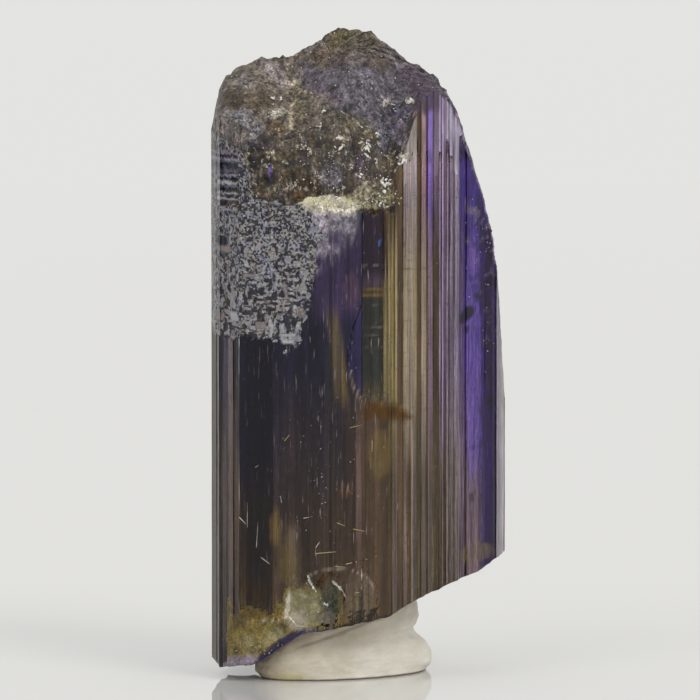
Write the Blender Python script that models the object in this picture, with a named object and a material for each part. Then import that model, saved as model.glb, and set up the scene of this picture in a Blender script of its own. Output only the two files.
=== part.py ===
"""A rough tanzanite crystal that stands upright in a pinch of white display putty.

Metres, +Z up, with the side that shows best towards -Y. The origin is on the surface that
the putty stands on, under the middle of the crystal.
"""

from math import cos, sin, tau

import bmesh
import bpy
from mathutils import Vector, noise

MM = 0.001

# The prism seen from above, in millimetres: a corner, then for the face that runs from it
# to the next corner the number of strips across that face and the depth of its ribs.
PRISM_CORNERS = (
    (-7.00, -0.60, 3, 0.04),
    (-6.62, -2.30, 4, 0.06),
    (-5.65, -3.55, 12, 0.05),
    (0.15, -4.40, 4, 0.16),
    (1.40, -4.25, 16, 0.12),
    (4.70, -3.00, 6, 0.06),
    (6.55, -1.15, 3, 0.04),
    (7.00, 0.80, 6, 0.08),
    (5.60, 3.05, 12, 0.10),
    (1.60, 4.40, 12, 0.08),
    (-3.40, 4.30, 8, 0.10),
    (-6.30, 2.60, 6, 0.05),
)
FRONT_Y, RIDGE_Y, BACK_Y = -4.40, 1.20, 4.40

# Heights of the broken top, as (x, z) in millimetres above the surface: the ridge, and the
# line along which the slope in front of it meets the prism's front faces.
RIDGE = (
    (-7.0, 26.1),
    (-6.7, 27.7),
    (-6.4, 28.5),
    (-4.8, 29.4),
    (-3.1, 29.5),
    (-1.0, 31.05),
    (0.5, 30.8),
    (1.9, 29.5),
    (3.3, 28.5),
    (4.2, 27.7),
)
FRONT_RIM = (
    (-7.0, 26.0),
    (-5.6, 25.6),
    (-3.6, 23.6),
    (-1.0, 22.9),
    (1.6, 23.1),
    (2.3, 24.9),
    (2.9, 27.2),
    (3.6, 27.8),
)
BACK_DROP = 5.4  # from the ridge down to the back rim
BREAK_RELIEF = 0.30  # of the broken top, either way

# How far the prism reaches to each side, as (z, x): both shoulders are broken off.
RIGHT_SHOULDER = (
    (12.5, 7.00),
    (15.8, 6.86),
    (19.0, 6.58),
    (20.9, 6.36),
    (22.7, 5.93),
    (24.5, 5.32),
    (26.2, 4.66),
    (27.9, 4.10),
)
LEFT_SHOULDER = ((26.0, -7.00), (27.9, -6.67), (28.7, -6.42), (29.1, -5.90))
SHOULDER_LEAN = 0.12  # the right break cuts this much deeper for each millimetre back
SHOULDER_LEAN_FROM = -1.5
SHOULDER_STARTS, SHOULDER_FULL = 13.0, 20.0

# The broken foot along the front, as (x, z), and how much lower it lies at the back.
FOOT = (
    (-7.0, 0.95),
    (-6.6, 0.67),
    (-5.0, 0.85),
    (-3.7, 1.80),
    (-2.7, 2.38),
    (-0.4, 2.80),
    (1.5, 3.20),
    (2.7, 3.95),
    (4.1, 4.57),
    (5.7, 5.20),
    (7.0, 6.05),
)
FOOT_FALL = ((-7.0, 0.25), (-5.2, 0.30), (-4.0, 0.85), (-2.8, 1.10), (-0.5, 0.60), (1.5, 0.40))
FOOT_RELIEF = 0.10

WALL_LEVELS, TOP_RINGS, FOOT_RINGS = 16, 11, 6
TOP_CENTRE, FOOT_CENTRE = (-1.2, 0.2), (0.0, 0.0)

# The putty: how far it reaches to each side at a height, as (z, x), its half depth, and how
# far back it runs for each millimetre to the right. The crystal's foot is pressed into it.
PUTTY_LEFT = ((0.0, -4.70), (0.3, -5.00), (0.8, -5.05), (1.8, -4.60), (4.0, -4.20))
PUTTY_RIGHT = (
    (0.0, 3.30),
    (0.4, 3.60),
    (0.9, 3.60),
    (1.4, 3.40),
    (1.8, 3.05),
    (2.6, 3.12),
    (3.2, 2.95),
    (4.0, 2.60),
)
PUTTY_HALF_DEPTH = 2.9
PUTTY_SKEW = 0.35
PUTTY_LUMPS = 0.12
PUTTY_COLUMNS, PUTTY_LEVELS, PUTTY_RINGS = 40, 8, 7
GAP = 0.3  # between the putty's top and the crystal's foot

TANZANITE = ("tanzanite", (0.10, 0.07, 0.20), 0.12)
PUTTY = ("putty", (0.62, 0.60, 0.53), 0.60)


def along(table, at):
    """The value at a position on the line through the table's (position, value) points."""
    if at <= table[0][0]:
        return table[0][1]
    for (start, low), (end, high) in zip(table, table[1:]):
        if at <= end:
            return low + (high - low) * (at - start) / (end - start)
    return table[-1][1]


def share(low, high, at):
    """How far a value lies on the way from low to high, held between 0 and 1."""
    return min(max((at - low) / (high - low), 0.0), 1.0)


def top_height(x, y):
    """The broken top: a slope that climbs from the front rim to the ridge and drops behind."""
    ridge = along(RIDGE, x)
    if y < RIDGE_Y:
        climb = share(FRONT_Y, RIDGE_Y, y) ** 0.85
        height = along(FRONT_RIM, x) * (1 - climb) + ridge * climb
    else:
        height = ridge - BACK_DROP * share(RIDGE_Y, BACK_Y, y) ** 1.3
    return height + BREAK_RELIEF * noise.noise(Vector((x * 0.7, y * 0.7, 3.0)))


def foot_height(x, y):
    """The broken foot, which climbs to the right and lies a little lower at the back."""
    fall = along(FOOT_FALL, x) * share(FRONT_Y, BACK_Y, y)
    relief = FOOT_RELIEF * noise.noise(Vector((x * 0.6, y * 0.6, 9.0)))
    return along(FOOT, x) - fall + relief


def within_shoulders(x, y, z):
    """The x of a wall point once both broken shoulders are taken off."""
    cut = SHOULDER_LEAN * max(y - SHOULDER_LEAN_FROM, 0.0)
    cut *= share(SHOULDER_STARTS, SHOULDER_FULL, z)
    return max(min(x, along(RIGHT_SHOULDER, z) - cut), along(LEFT_SHOULDER, z))


def prism_outline():
    """The plan of the prism, with every second line between two corners raised into a rib."""
    outline = []
    corners = PRISM_CORNERS + PRISM_CORNERS[:1]
    for (x, y, strips, rib), (next_x, next_y, _, _) in zip(corners, corners[1:]):
        start, run = Vector((x, y)), Vector((next_x - x, next_y - y))
        inward = Vector((-run.y, run.x)).normalized()
        for i in range(strips):
            sunk = rib * (i % 2)
            outline.append(start + run * (i / strips) + inward * sunk)
    return outline


def where_it_ends(height, column, start):
    """The height at which a wall column meets a broken face, which may cut it sideways."""
    z = start
    for _ in range(12):
        z = height(within_shoulders(column.x, column.y, z), column.y)
    return z


def ring_towards(rim, centre, part, height):
    """A ring of the broken face, part of the way from its rim to its centre."""
    ring = []
    for point in rim:
        x = point.x + (centre[0] - point.x) * part
        y = point.y + (centre[1] - point.y) * part
        ring.append(Vector((x, y, height(x, y))))
    return ring


def crystal_rings():
    """The crystal's rings in millimetres, from the middle of its foot to that of its top."""
    outline = prism_outline()
    spans = [
        (
            where_it_ends(foot_height, column, 3.0),
            where_it_ends(top_height, column, 26.0),
        )
        for column in outline
    ]
    walls = []
    for level in range(WALL_LEVELS + 1):
        ring = []
        for column, (low, high) in zip(outline, spans):
            z = low + (high - low) * level / WALL_LEVELS
            x = within_shoulders(column.x, column.y, z)
            ring.append(Vector((x, column.y, z)))
        walls.append(ring)
    foot = [
        ring_towards(walls[0], FOOT_CENTRE, i / FOOT_RINGS, foot_height)
        for i in range(FOOT_RINGS, 0, -1)
    ]
    top = [
        ring_towards(walls[-1], TOP_CENTRE, i / TOP_RINGS, top_height)
        for i in range(1, TOP_RINGS + 1)
    ]
    return foot + walls + top


def putty_point(turn, z):
    """A point on the putty's side at a turn round it, from its reach at that height."""
    left, right = along(PUTTY_LEFT, z), along(PUTTY_RIGHT, z)
    reach = (right - left) / 2 * cos(turn)
    x = (left + right) / 2 + reach
    y = PUTTY_HALF_DEPTH * sin(turn) + PUTTY_SKEW * reach
    lump = PUTTY_LUMPS * noise.noise(Vector((x * 0.8, y * 0.8, z * 1.4)))
    return Vector((x, y + lump, z))


def under_the_foot(x, y):
    """The putty's top, which follows the crystal's foot."""
    return foot_height(x, y) - GAP


def putty_rings():
    """The putty's rings in millimetres, from the middle of its flat base to its top."""
    turns = [tau * i / PUTTY_COLUMNS for i in range(PUTTY_COLUMNS)]
    tops = []
    for turn in turns:
        z = 1.0
        for _ in range(12):
            point = putty_point(turn, z)
            z = under_the_foot(point.x, point.y)
        tops.append(z)
    walls = [
        [putty_point(turn, z * level / PUTTY_LEVELS) for turn, z in zip(turns, tops)]
        for level in range(PUTTY_LEVELS + 1)
    ]
    middle = sum(walls[-1], Vector()) / PUTTY_COLUMNS
    base = [
        ring_towards(walls[0], middle, i / PUTTY_RINGS, lambda x, y: 0.0)
        for i in range(PUTTY_RINGS, 0, -1)
    ]
    top = [
        ring_towards(walls[-1], middle, i / PUTTY_RINGS, under_the_foot)
        for i in range(1, PUTTY_RINGS + 1)
    ]
    return base + walls + top


def next_ring(bm, ring):
    """Extrudes a ring of vertices and returns the new ring in the same order."""
    pairs = zip(ring, ring[1:] + ring[:1])
    edges = [bm.edges.get(pair) for pair in pairs]
    made = bmesh.ops.extrude_edge_only(bm, edges=edges)["geom"]
    fresh = {item for item in made if isinstance(item, bmesh.types.BMVert)}
    return [
        next(edge.other_vert(v) for edge in v.link_edges if edge.other_vert(v) in fresh)
        for v in ring
    ]


def skinned(name, rings):
    """A closed mesh through rings of points, whose first and last rings close to a point."""
    bm = bmesh.new()
    made = bmesh.ops.create_circle(bm, segments=len(rings[0]), radius=1.0)
    first = ring = made["verts"]
    for i, points in enumerate(rings):
        if i:
            ring = next_ring(bm, ring)
        for vertex, point in zip(ring, points):
            vertex.co = point * MM
    for end in (first, ring):
        bmesh.ops.pointmerge(bm, verts=end, merge_co=end[0].co.copy())
    bmesh.ops.recalc_face_normals(bm, faces=bm.faces)
    mesh = bpy.data.meshes.new(name)
    bm.to_mesh(mesh)
    bm.free()
    return mesh


def material(name, colour, roughness):
    """A plain Principled material."""
    made = bpy.data.materials.new(name)
    made.use_nodes = True
    shader = made.node_tree.nodes["Principled BSDF"]
    shader.inputs["Base Color"].default_value = (*colour, 1.0)
    shader.inputs["Roughness"].default_value = roughness
    shader.inputs["Metallic"].default_value = 0.0
    return made


def piece(name, rings, look, holder):
    """One sub-part as an object of its own, held by the specimen's empty."""
    mesh = skinned(name, rings)
    mesh.materials.append(material(*look))
    made = bpy.data.objects.new(name, mesh)
    bpy.context.scene.collection.objects.link(made)
    made.parent = holder
    return made


def build():
    """The specimen: the crystal and the putty under it."""
    for old in list(bpy.data.objects):
        bpy.data.objects.remove(old)
    specimen = bpy.data.objects.new("specimen", None)
    bpy.context.scene.collection.objects.link(specimen)
    piece("tanzanite_crystal", crystal_rings(), TANZANITE, specimen)
    piece("putty_stand", putty_rings(), PUTTY, specimen)


build()
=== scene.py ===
"""A rough tanzanite crystal, stood upright in a pinch of white putty on a glossy pale table."""
import random
from math import cos, exp, floor, hypot, radians, sin, tau

import bmesh
import bpy
from mathutils import Matrix, Vector, noise


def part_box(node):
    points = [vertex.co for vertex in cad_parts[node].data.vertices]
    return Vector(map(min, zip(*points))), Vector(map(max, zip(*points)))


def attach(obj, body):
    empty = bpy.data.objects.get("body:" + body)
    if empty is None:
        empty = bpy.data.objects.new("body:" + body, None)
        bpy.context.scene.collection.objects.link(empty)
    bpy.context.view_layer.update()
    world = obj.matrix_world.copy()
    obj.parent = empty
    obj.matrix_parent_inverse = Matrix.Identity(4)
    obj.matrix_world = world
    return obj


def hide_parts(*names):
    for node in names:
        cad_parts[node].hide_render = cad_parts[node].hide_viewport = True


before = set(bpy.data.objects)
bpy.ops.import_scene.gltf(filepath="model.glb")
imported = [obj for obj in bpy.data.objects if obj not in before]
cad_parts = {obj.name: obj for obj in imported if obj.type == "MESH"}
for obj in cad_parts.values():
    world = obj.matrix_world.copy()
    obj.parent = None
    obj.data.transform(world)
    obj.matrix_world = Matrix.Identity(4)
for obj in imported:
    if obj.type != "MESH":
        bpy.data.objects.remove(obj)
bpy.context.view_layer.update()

MM = 0.001
# The crystal's box in millimetres, and how far the pieces keep inside it.
CRYSTAL_LOW, CRYSTAL_HIGH = (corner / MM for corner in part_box("tanzanite_crystal"))
CLEARANCE = 0.005

# The prism seen from above, in millimetres: a corner and, for the face from there to the
# next corner, the spacing of its columns of points, the width of its ribs and their depth.
# A face with no width for its ribs has the named bands below.
PRISM_FACES = (
    (-7.00, -0.60, 0.085, 0.0, 0.0),
    (-6.62, -2.30, 0.075, 0.0, 0.0),
    (-5.65, -3.55, 0.080, 0.34, 0.035),
    (0.15, -4.40, 0.080, 0.26, 0.05),
    (1.40, -4.25, 0.065, 0.0, 0.0),
    (4.70, -3.00, 0.080, 0.0, 0.0),
    (6.55, -1.15, 0.110, 0.0, 0.0),
    (7.00, 0.80, 0.240, 0.40, 0.08),
    (5.60, 3.05, 0.240, 0.38, 0.12),
    (1.60, 4.40, 0.250, 0.42, 0.08),
    (-3.40, 4.30, 0.250, 0.40, 0.11),
    (-6.30, 2.60, 0.250, 0.45, 0.06),
)
# Half the width of the riser between two ribs, and where the left side face meets the front.
RISER, LEFT_FACE_Y = 0.006, -2.3
FRONT_Y, RIDGE_Y, BACK_Y = CRYSTAL_LOW.y, 1.20, CRYSTAL_HIGH.y

# Heights of the broken top, as (x, z) above the table: the ridge, and the line along which
# the slope in front of it meets the prism's front faces.
RIDGE = (
    (-7.0, 26.1),
    (-6.7, 27.6),
    (-6.4, 28.3),
    (-5.4, 29.16),
    (-4.8, 29.37),
    (-3.1, 29.45),
    (-1.0, 30.8),
    (0.5, 30.7),
    (1.9, 29.5),
    (3.3, 28.6),
    (4.2, 28.0),
)
FRONT_RIM = (
    (-7.0, 26.0),
    (-5.6, 25.6),
    (-3.6, 23.6),
    (-1.0, 22.9),
    (1.6, 23.1),
    (2.3, 24.9),
    (2.9, 27.2),
    (3.6, 27.8),
)
BACK_DROP = 5.4
# The crease across the slope, seen from above, as (x, y): the slope behind it lies lower.
TOP_CREASE = ((-2.8, -0.40), (-1.6, -1.55), (-0.65, -2.05), (0.95, -2.55), (4.0, -3.4))

# Where the faces change their finish: right of the panel, at the left edge and at the back,
# and the heights between which the top's rim turns streaky.
BANDS_FROM, LEFT_EDGE, BACK_FROM = 1.9, -6.68, 0.6
STREAKY_RIM = 27.0, 25.4

# How far the prism reaches to each side, as (z, x): both shoulders are broken off.
RIGHT_SHOULDER = (
    (12.5, 7.00),
    (15.8, 6.95),
    (19.0, 6.75),
    (20.9, 6.50),
    (22.7, 6.05),
    (24.5, 5.48),
    (26.2, 4.95),
    (27.0, 4.68),
    (27.9, 4.20),
)
LEFT_SHOULDER = ((26.0, -7.00), (27.9, -6.67), (28.7, -6.42), (29.1, -5.90))
SHOULDER_LEAN, SHOULDER_LEAN_FROM = 0.12, -1.5
SHOULDER_STARTS, SHOULDER_FULL = 13.0, 20.0

# The broken foot along the front, as (x, z), and how much lower it lies at the back.
FOOT = (
    (-7.0, 0.95),
    (-6.6, 0.67),
    (-5.0, 0.85),
    (-3.7, 1.80),
    (-2.7, 2.38),
    (-0.4, 2.80),
    (1.5, 3.20),
    (2.7, 3.95),
    (4.1, 4.66),
    (5.7, 5.28),
    (7.0, 6.05),
)
FOOT_FALL = ((-7.0, 0.25), (-5.2, 0.30), (-4.0, 0.85), (-2.8, 1.10), (-0.5, 0.60), (1.5, 0.40))
FOOT_RELIEF = 0.10

# Bands of the walls, from the foot up: where each ends and how many rows of points it has.
FOOT_BAND_TOP, FOOT_ROWS = 6.5, 30
PLAIN_BAND_TOP, PLAIN_ROWS = 15.6, 40
ETCHED_BAND_TOP, ETCHED_ROWS = 22.4, 72
RIM_ROWS = 46
TOP_RINGS, FOOT_RINGS = 38, 9
TOP_CENTRE, FOOT_CENTRE = (-1.2, 0.2), (0.0, 0.0)

# Tints of the crystal: on its clear faces the share of red, green and blue light that comes
# through, and on its dull ones the colour of the surface.
INK = Vector((0.012, 0.011, 0.014))
NAVY = Vector((0.010, 0.010, 0.026))
INDIGO = Vector((0.030, 0.020, 0.100))
VIOLET = Vector((0.185, 0.110, 0.620))
PURPLE = Vector((0.044, 0.028, 0.075))
MAUVE = Vector((0.230, 0.162, 0.222))
HEATHER = Vector((0.120, 0.078, 0.190))
GRAPE = Vector((0.120, 0.085, 0.130))
AMETHYST = Vector((0.135, 0.085, 0.270))
IRIS = Vector((0.048, 0.020, 0.225))
DOVE = Vector((0.280, 0.245, 0.320))
SLOE = Vector((0.014, 0.007, 0.036))
SLATE = Vector((0.090, 0.092, 0.124))
LILAC = Vector((0.290, 0.230, 0.320))
PEARL_REFLECTION = Vector((0.370, 0.360, 0.385))
ASH = Vector((0.210, 0.180, 0.175))
BEIGE = Vector((0.300, 0.250, 0.175))
PALE = Vector((0.340, 0.290, 0.220))
GOLD = Vector((0.295, 0.255, 0.110))
STRAW = Vector((0.265, 0.235, 0.135))
FERN = Vector((0.066, 0.066, 0.044))
DAMSON = Vector((0.038, 0.017, 0.112))
HAZE = Vector((0.240, 0.190, 0.280))
PAINTED_GLINT_BLUE = Vector((0.050, 0.130, 0.330))
MULBERRY = Vector((0.022, 0.012, 0.022))
KHAKI = Vector((0.145, 0.120, 0.068))
WINE = Vector((0.090, 0.052, 0.084))
OLIVE = Vector((0.182, 0.134, 0.034))
MOSS = Vector((0.070, 0.058, 0.026))
BROWN = Vector((0.079, 0.051, 0.024))
UMBER = Vector((0.040, 0.027, 0.014))
DUSK = Vector((0.026, 0.020, 0.022))
TAUPE = Vector((0.120, 0.096, 0.074))
SMOKE = Vector((0.098, 0.083, 0.100))
PLUM = Vector((0.062, 0.042, 0.062))
RUST = Vector((0.084, 0.037, 0.000))
AMBER = Vector((0.210, 0.150, 0.030))
ROSE = Vector((0.240, 0.150, 0.150))
BOTTLE = Vector((0.022, 0.026, 0.018))
CREAM = Vector((0.525, 0.480, 0.390))
BUTTER = Vector((0.540, 0.490, 0.270))
FROST = Vector((0.235, 0.210, 0.245))
SALLOW = Vector((0.200, 0.180, 0.100))

# The straight bands of the left edge and of the faces right of the sunk panel: the x where
# each ends, how deep it lies, how its face turns, and its tints high up, halfway and low.
BANDS = (
    (-6.78, 0.01, 0.00, BROWN, BROWN, BROWN),
    (-6.48, 0.05, 0.03, INK, NAVY, BROWN),
    (-6.38, 0.04, 0.00, MOSS, INK, TAUPE),
    (-6.20, 0.00, 0.02, SMOKE, SLATE, TAUPE),
    (-5.95, 0.01, -0.02, SMOKE, ASH, TAUPE),
    (-5.82, 0.06, 0.02, INK, INK, BROWN),
    (-5.65, 0.02, 0.00, NAVY, NAVY, BROWN),
    (1.50, 0.03, 0.02, BROWN, GOLD, BROWN),
    (1.56, 0.07, 0.00, UMBER, OLIVE, BROWN),
    (1.66, 0.02, 0.03, BROWN, GOLD, MOSS),
    (1.73, 0.06, 0.00, UMBER, OLIVE, TAUPE),
    (1.84, 0.03, 0.02, BROWN, GOLD, TAUPE),
    (2.12, 0.10, 0.02, BROWN, BROWN, BROWN),
    (2.30, 0.04, 0.04, ASH, STRAW, TAUPE),
    (2.50, 0.02, -0.03, ASH, PALE, BROWN),
    (2.57, 0.00, 0.00, PALE, BEIGE, PALE),
    (2.76, 0.03, 0.03, ASH, STRAW, TAUPE),
    (2.82, 0.07, -0.03, BROWN, BROWN, MOSS),
    (2.97, 0.12, 0.00, UMBER, BROWN, MOSS),
    (3.20, 0.04, 0.04, ROSE, PALE, TAUPE),
    (3.28, 0.09, 0.00, PURPLE, OLIVE, BROWN),
    (3.52, 0.05, 0.05, AMETHYST, MAUVE, TAUPE),
    (3.58, 0.10, 0.00, PLUM, MOSS, TAUPE),
    (3.80, 0.07, -0.04, GRAPE, BROWN, MOSS),
    (3.88, 0.01, 0.00, LILAC, LILAC, BROWN),
    (3.94, 0.06, 0.00, HEATHER, GRAPE, SMOKE),
    (4.02, 0.02, 0.04, LILAC, LILAC, TAUPE),
    (4.16, 0.06, 0.00, GRAPE, GRAPE, BROWN),
    (4.23, 0.01, 0.00, LILAC, LILAC, ASH),
    (4.30, 0.07, 0.00, HEATHER, GRAPE, TAUPE),
    (4.46, 0.02, 0.02, DOVE, DOVE, ASH),
    (4.53, 0.06, 0.00, GRAPE, GRAPE, TAUPE),
    (4.78, 0.02, 0.03, DOVE, DOVE, ASH),
    (5.06, 0.05, 0.02, IRIS, AMETHYST, MAUVE),
    (5.13, 0.09, 0.00, IRIS, IRIS, UMBER),
    (5.77, 0.03, 0.04, IRIS, VIOLET, MAUVE * 1.25),
    (6.05, 0.09, 0.00, IRIS, IRIS, HEATHER),
    (6.36, 0.05, -0.04, IRIS, SLOE, IRIS),
    (6.58, 0.03, 0.02, SLOE, IRIS, PURPLE),
    (7.00, 0.01, 0.02, LILAC, HAZE, HAZE),
)
HIGH_FROM, HALFWAY_TO, HALFWAY_FROM, LOW_TO = 22.8, 19.5, 15.0, 10.0

# The putty: how far it reaches to each side at a height, as (z, x), its half depth, and how
# far back it runs for each millimetre to the right.
PUTTY_LEFT = ((0.0, -4.70), (0.3, -5.00), (0.8, -5.00), (1.8, -4.60), (4.0, -4.20))
PUTTY_RIGHT = (
    (0.0, 3.30),
    (0.4, 3.58),
    (0.9, 3.58),
    (1.4, 3.28),
    (1.8, 2.80),
    (2.6, 2.95),
    (3.2, 2.90),
    (4.0, 2.60),
)
PUTTY_HALF_DEPTH, PUTTY_SKEW = 2.9, 0.35
PUTTY_TURNS, PUTTY_LEVELS, PUTTY_BASE_RINGS, PUTTY_TOP_RINGS = 180, 40, 12, 16

# The photograph's frame, in pixels, the scale that the crystal has in it, and the places of
# the crystal's axis and of the table in it; then the camera, the table and the light.
FRAME_PX, PX_PER_MM = 700, 21.0
AXIS_PX, TABLE_PX = 358.5, 674.0
CAMERA_TILT, CAMERA_AWAY = radians(5.0), 0.40
SENSOR_WIDTH = 36.0
TABLE_RADIUS = 2.4
TABLE_COLOUR = (0.68, 0.67, 0.65, 1.0)
STUDIO_COLOUR, STUDIO_LIGHT = (1.0, 1.0, 0.985, 1.0), 0.78


def along(table, at):
    """The value at a position on the line through the table's (position, value) points."""
    if at <= table[0][0]:
        return table[0][1]
    for (start, low), (end, high) in zip(table, table[1:]):
        if at <= end:
            return low + (high - low) * (at - start) / (end - start)
    return table[-1][1]


def share(low, high, at):
    """How far a value lies on the way from low to high, held between 0 and 1."""
    return min(max((at - low) / (high - low), 0.0), 1.0)


def soft(low, high, at):
    """Like share, but starting and ending gently."""
    t = share(low, high, at)
    return t * t * (3 - 2 * t)


def grain(x, y, z, size, seed=0.0):
    """Smooth noise between about -1 and 1 with lumps of a size in millimetres."""
    return noise.noise(Vector((x / size + seed, y / size - seed, z / size + 2 * seed)))


def chance(*key):
    """A repeatable random number between 0 and 1 for a key of whole numbers."""
    mixed = 0
    for number in key:
        mixed = (mixed * 1103515245 + int(number) * 12345 + 40503) & 0x7FFFFFFF
        mixed ^= mixed >> 13
    return (mixed * 2654435761 & 0xFFFFFFFF) / 0x100000000


def ledge(at):
    """Level steps with short risers between them, one step for each unit."""
    return floor(at) + soft(0.78, 1.0, at - floor(at))


def top_height(x, y):
    """The broken top: a slope that climbs from the front rim to the ridge and drops behind."""
    ridge = along(RIDGE, x)
    if y < RIDGE_Y:
        climb = share(FRONT_Y, RIDGE_Y, y) ** 0.85
        height = along(FRONT_RIM, x) * (1 - climb) + ridge * climb
    else:
        climb = 1.0
        height = ridge - BACK_DROP * share(RIDGE_Y, BACK_Y, y) ** 1.3
    fold = y - along(TOP_CREASE, x)
    lip = exp(-((fold + 0.10) / 0.16) ** 2)
    there = soft(1.0, 0.75, climb) * soft(-4.0, -2.8, x)
    height += (0.12 * lip - 0.42 * soft(-0.05, 0.35, fold) * soft(2.6, 0.8, fold)) * there
    steps = 1.1 * y + 0.5 * x + 1.5 * grain(x, y, 2.0, 1.3)
    height += (0.20 - 0.12 * climb) * (ledge(steps) - steps + 0.4)
    rough = 0.16 * grain(x, y, 3.0, 1.5) + 0.13 * grain(x, y, 5.0, 0.62)
    rough += 0.11 * grain(x, y, 7.0, 0.27) + 0.05 * grain(x, y, 9.0, 0.13)
    rough += 0.16 * grain(x, y, 6.0, 0.42) * soft(-0.6, -1.8, y)
    rough += 0.07 * grain(x, y * 0.2, 4.0, 0.14) * soft(-1.5, -3.0, y)
    return min(height + rough, CRYSTAL_HIGH.z - CLEARANCE)


def foot_height(x, y):
    """The broken foot, which climbs to the right and lies a little lower at the back."""
    fall = along(FOOT_FALL, x) * share(FRONT_Y, BACK_Y, y)
    rough = FOOT_RELIEF * noise.noise(Vector((x * 0.6, y * 0.6, 9.0)))
    rough += 0.07 * grain(x, y, 1.0, 0.5) + 0.035 * grain(x, y, 2.0, 0.2)
    return along(FOOT, x) - fall + rough


def right_limit(y, z):
    """The broken right shoulder, with its shell-like hollows and small steps."""
    cut = SHOULDER_LEAN * max(y - SHOULDER_LEAN_FROM, 0.0)
    cut *= share(SHOULDER_STARTS, SHOULDER_FULL, z)
    broken = share(SHOULDER_STARTS, SHOULDER_FULL, z)
    hollow = 0.16 * abs(grain(1.0, y, z, 1.3)) + 0.10 * abs(grain(2.0, y, z, 0.55))
    hollow += 0.09 * abs(grain(3.0, y, z, 0.25)) + 0.05 * abs(grain(3.0, y, z, 0.12))
    return along(RIGHT_SHOULDER, z) - cut - broken * hollow


def left_limit(y, z):
    """The broken left shoulder."""
    return along(LEFT_SHOULDER, z) + 0.06 * abs(grain(4.0, y, z, 0.5)) * share(26.0, 27.0, z)


# The etched patch's right side, as (z, x), its foot, as (x, z), and the line above which the
# wall belongs to the broken top, as (x, z).
ETCHED_RIGHT = ((16.0, -2.9), (17.5, -2.4), (19.5, -2.0), (21.3, -1.6), (22.6, -2.6))
ETCHED_FOOT = ((-7.0, 16.3), (-5.6, 16.5), (-3.4, 16.1), (-2.9, 15.8), (-2.4, 16.2))
RIM_LINE = ((-7.0, 26.0), (-5.5, 25.2), (-4.9, 23.0), (-2.2, 22.6), (1.6, 22.3))


def etched_share(x, z):
    """How strongly the front is etched at a place: 1 inside the frosted patch, 0 outside."""
    ragged = 0.30 * grain(x, 0.0, z, 0.55, 3.0) + 0.22 * grain(x, 0.0, z, 0.17, 4.0)
    right, bottom = along(ETCHED_RIGHT, z), along(ETCHED_FOOT, x)
    above = soft(bottom - 0.05, bottom + 0.05, z + ragged)
    return above * soft(0.1, -0.1, x - right + ragged) * (1 - broken_rim(x, z))


def broken_rim(x, z):
    """1 where the front wall belongs to the broken top, and 0 below that."""
    above = z - along(RIM_LINE, x) + 0.25 * grain(x, 6.0, z, 0.5)
    return soft(-0.08, 0.08, above) * soft(1.9, 1.5, x)


def etched_depth(x, z):
    """The pits of the frosted patch: small tilted blocks, taller than wide or wider than tall."""
    depth = 0.0
    for layer, (wide, tall, deep) in enumerate(((0.17, 0.42, 0.07), (0.33, 0.15, 0.05))):
        row = floor(z / tall)
        shift = chance(row, layer, 5) * wide
        column = floor((x + shift) / wide)
        step = chance(column, row, layer)
        lean_x = chance(column, row, layer, 1) - 0.5
        lean_z = chance(column, row, layer, 2) - 0.5
        in_x = (x + shift) / wide - column - 0.5
        in_z = z / tall - row - 0.5
        depth += deep * (step + lean_x * in_x + 1.3 * lean_z * in_z)
    return depth


# Ovals on the front, as (x, z, half width, half height): the speckled corner of the top, and
# the cream crust in the middle.
SPECKLED = (-5.90, 26.10, 1.40, 1.15)
LENS = (-1.45, 22.60, 1.50, 0.58)

# The level steps beside the upper left edge: where they start and end up the face and to the
# right, and for each step the height where it starts, how deep it lies and its tint; the pale
# tints are painted reflections of the light on the level faces.
STEPS_FOOT, STEPS_HEAD, STEPS_RIGHT = (22.55, 22.60), (25.15, 25.00), (-5.66, -5.76)
STEPS = (
    (22.58, 0.02, DOVE),
    (22.66, 0.16, SLATE),
    (22.82, 0.04, PEARL_REFLECTION),
    (22.98, 0.14, SLATE),
    (23.08, 0.03, PEARL_REFLECTION),
    (23.24, 0.13, NAVY),
    (23.40, 0.10, SLATE),
    (23.56, 0.03, PEARL_REFLECTION),
    (23.76, 0.10, NAVY),
    (23.94, 0.04, DOVE),
    (24.04, 0.12, SLATE),
    (24.30, 0.10, NAVY),
    (24.60, 0.06, SLATE),
    (24.74, 0.04, DOVE),
    (24.82, 0.09, NAVY),
    (25.00, 0.02, DOVE),
)


def off_middle(x, z, at_x, at_z, wide, tall):
    """How far out of the middle of an oval a place lies: 1 on the oval itself."""
    return hypot((x - at_x) / wide, (z - at_z) / tall)


def speckled_share(x, z):
    """How strongly the upper left corner of the top is speckled by fine etching."""
    off = off_middle(x, z, *SPECKLED) + 0.3 * grain(x, 7.0, z, 0.4)
    return 0.5 * soft(1.1, 0.8, off)


# Flat blocks in the etched patch: the x and z of the middle, half the width and height, and
# the tint; the pale tints are painted reflections of flat facets catching the light.
FLAT_BLOCKS = (
    (-6.45, 20.90, 0.25, 0.19, NAVY),
    (-6.52, 20.50, 0.46, 0.16, ASH),
    (-6.60, 17.30, 0.28, 0.20, ASH),
    (-5.86, 17.35, 0.20, 0.24, PEARL_REFLECTION),
    (-4.62, 16.97, 0.26, 0.17, ASH),
    (-4.12, 16.92, 0.11, 0.32, PEARL_REFLECTION),
    (-3.30, 16.52, 0.38, 0.08, PEARL_REFLECTION),
    (-3.32, 16.22, 0.30, 0.08, PEARL_REFLECTION),
    (-3.45, 18.60, 0.10, 0.40, ASH),
    (-5.15, 19.30, 0.30, 0.10, ASH),
    (-2.70, 17.60, 0.16, 0.26, ASH),
)


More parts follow.
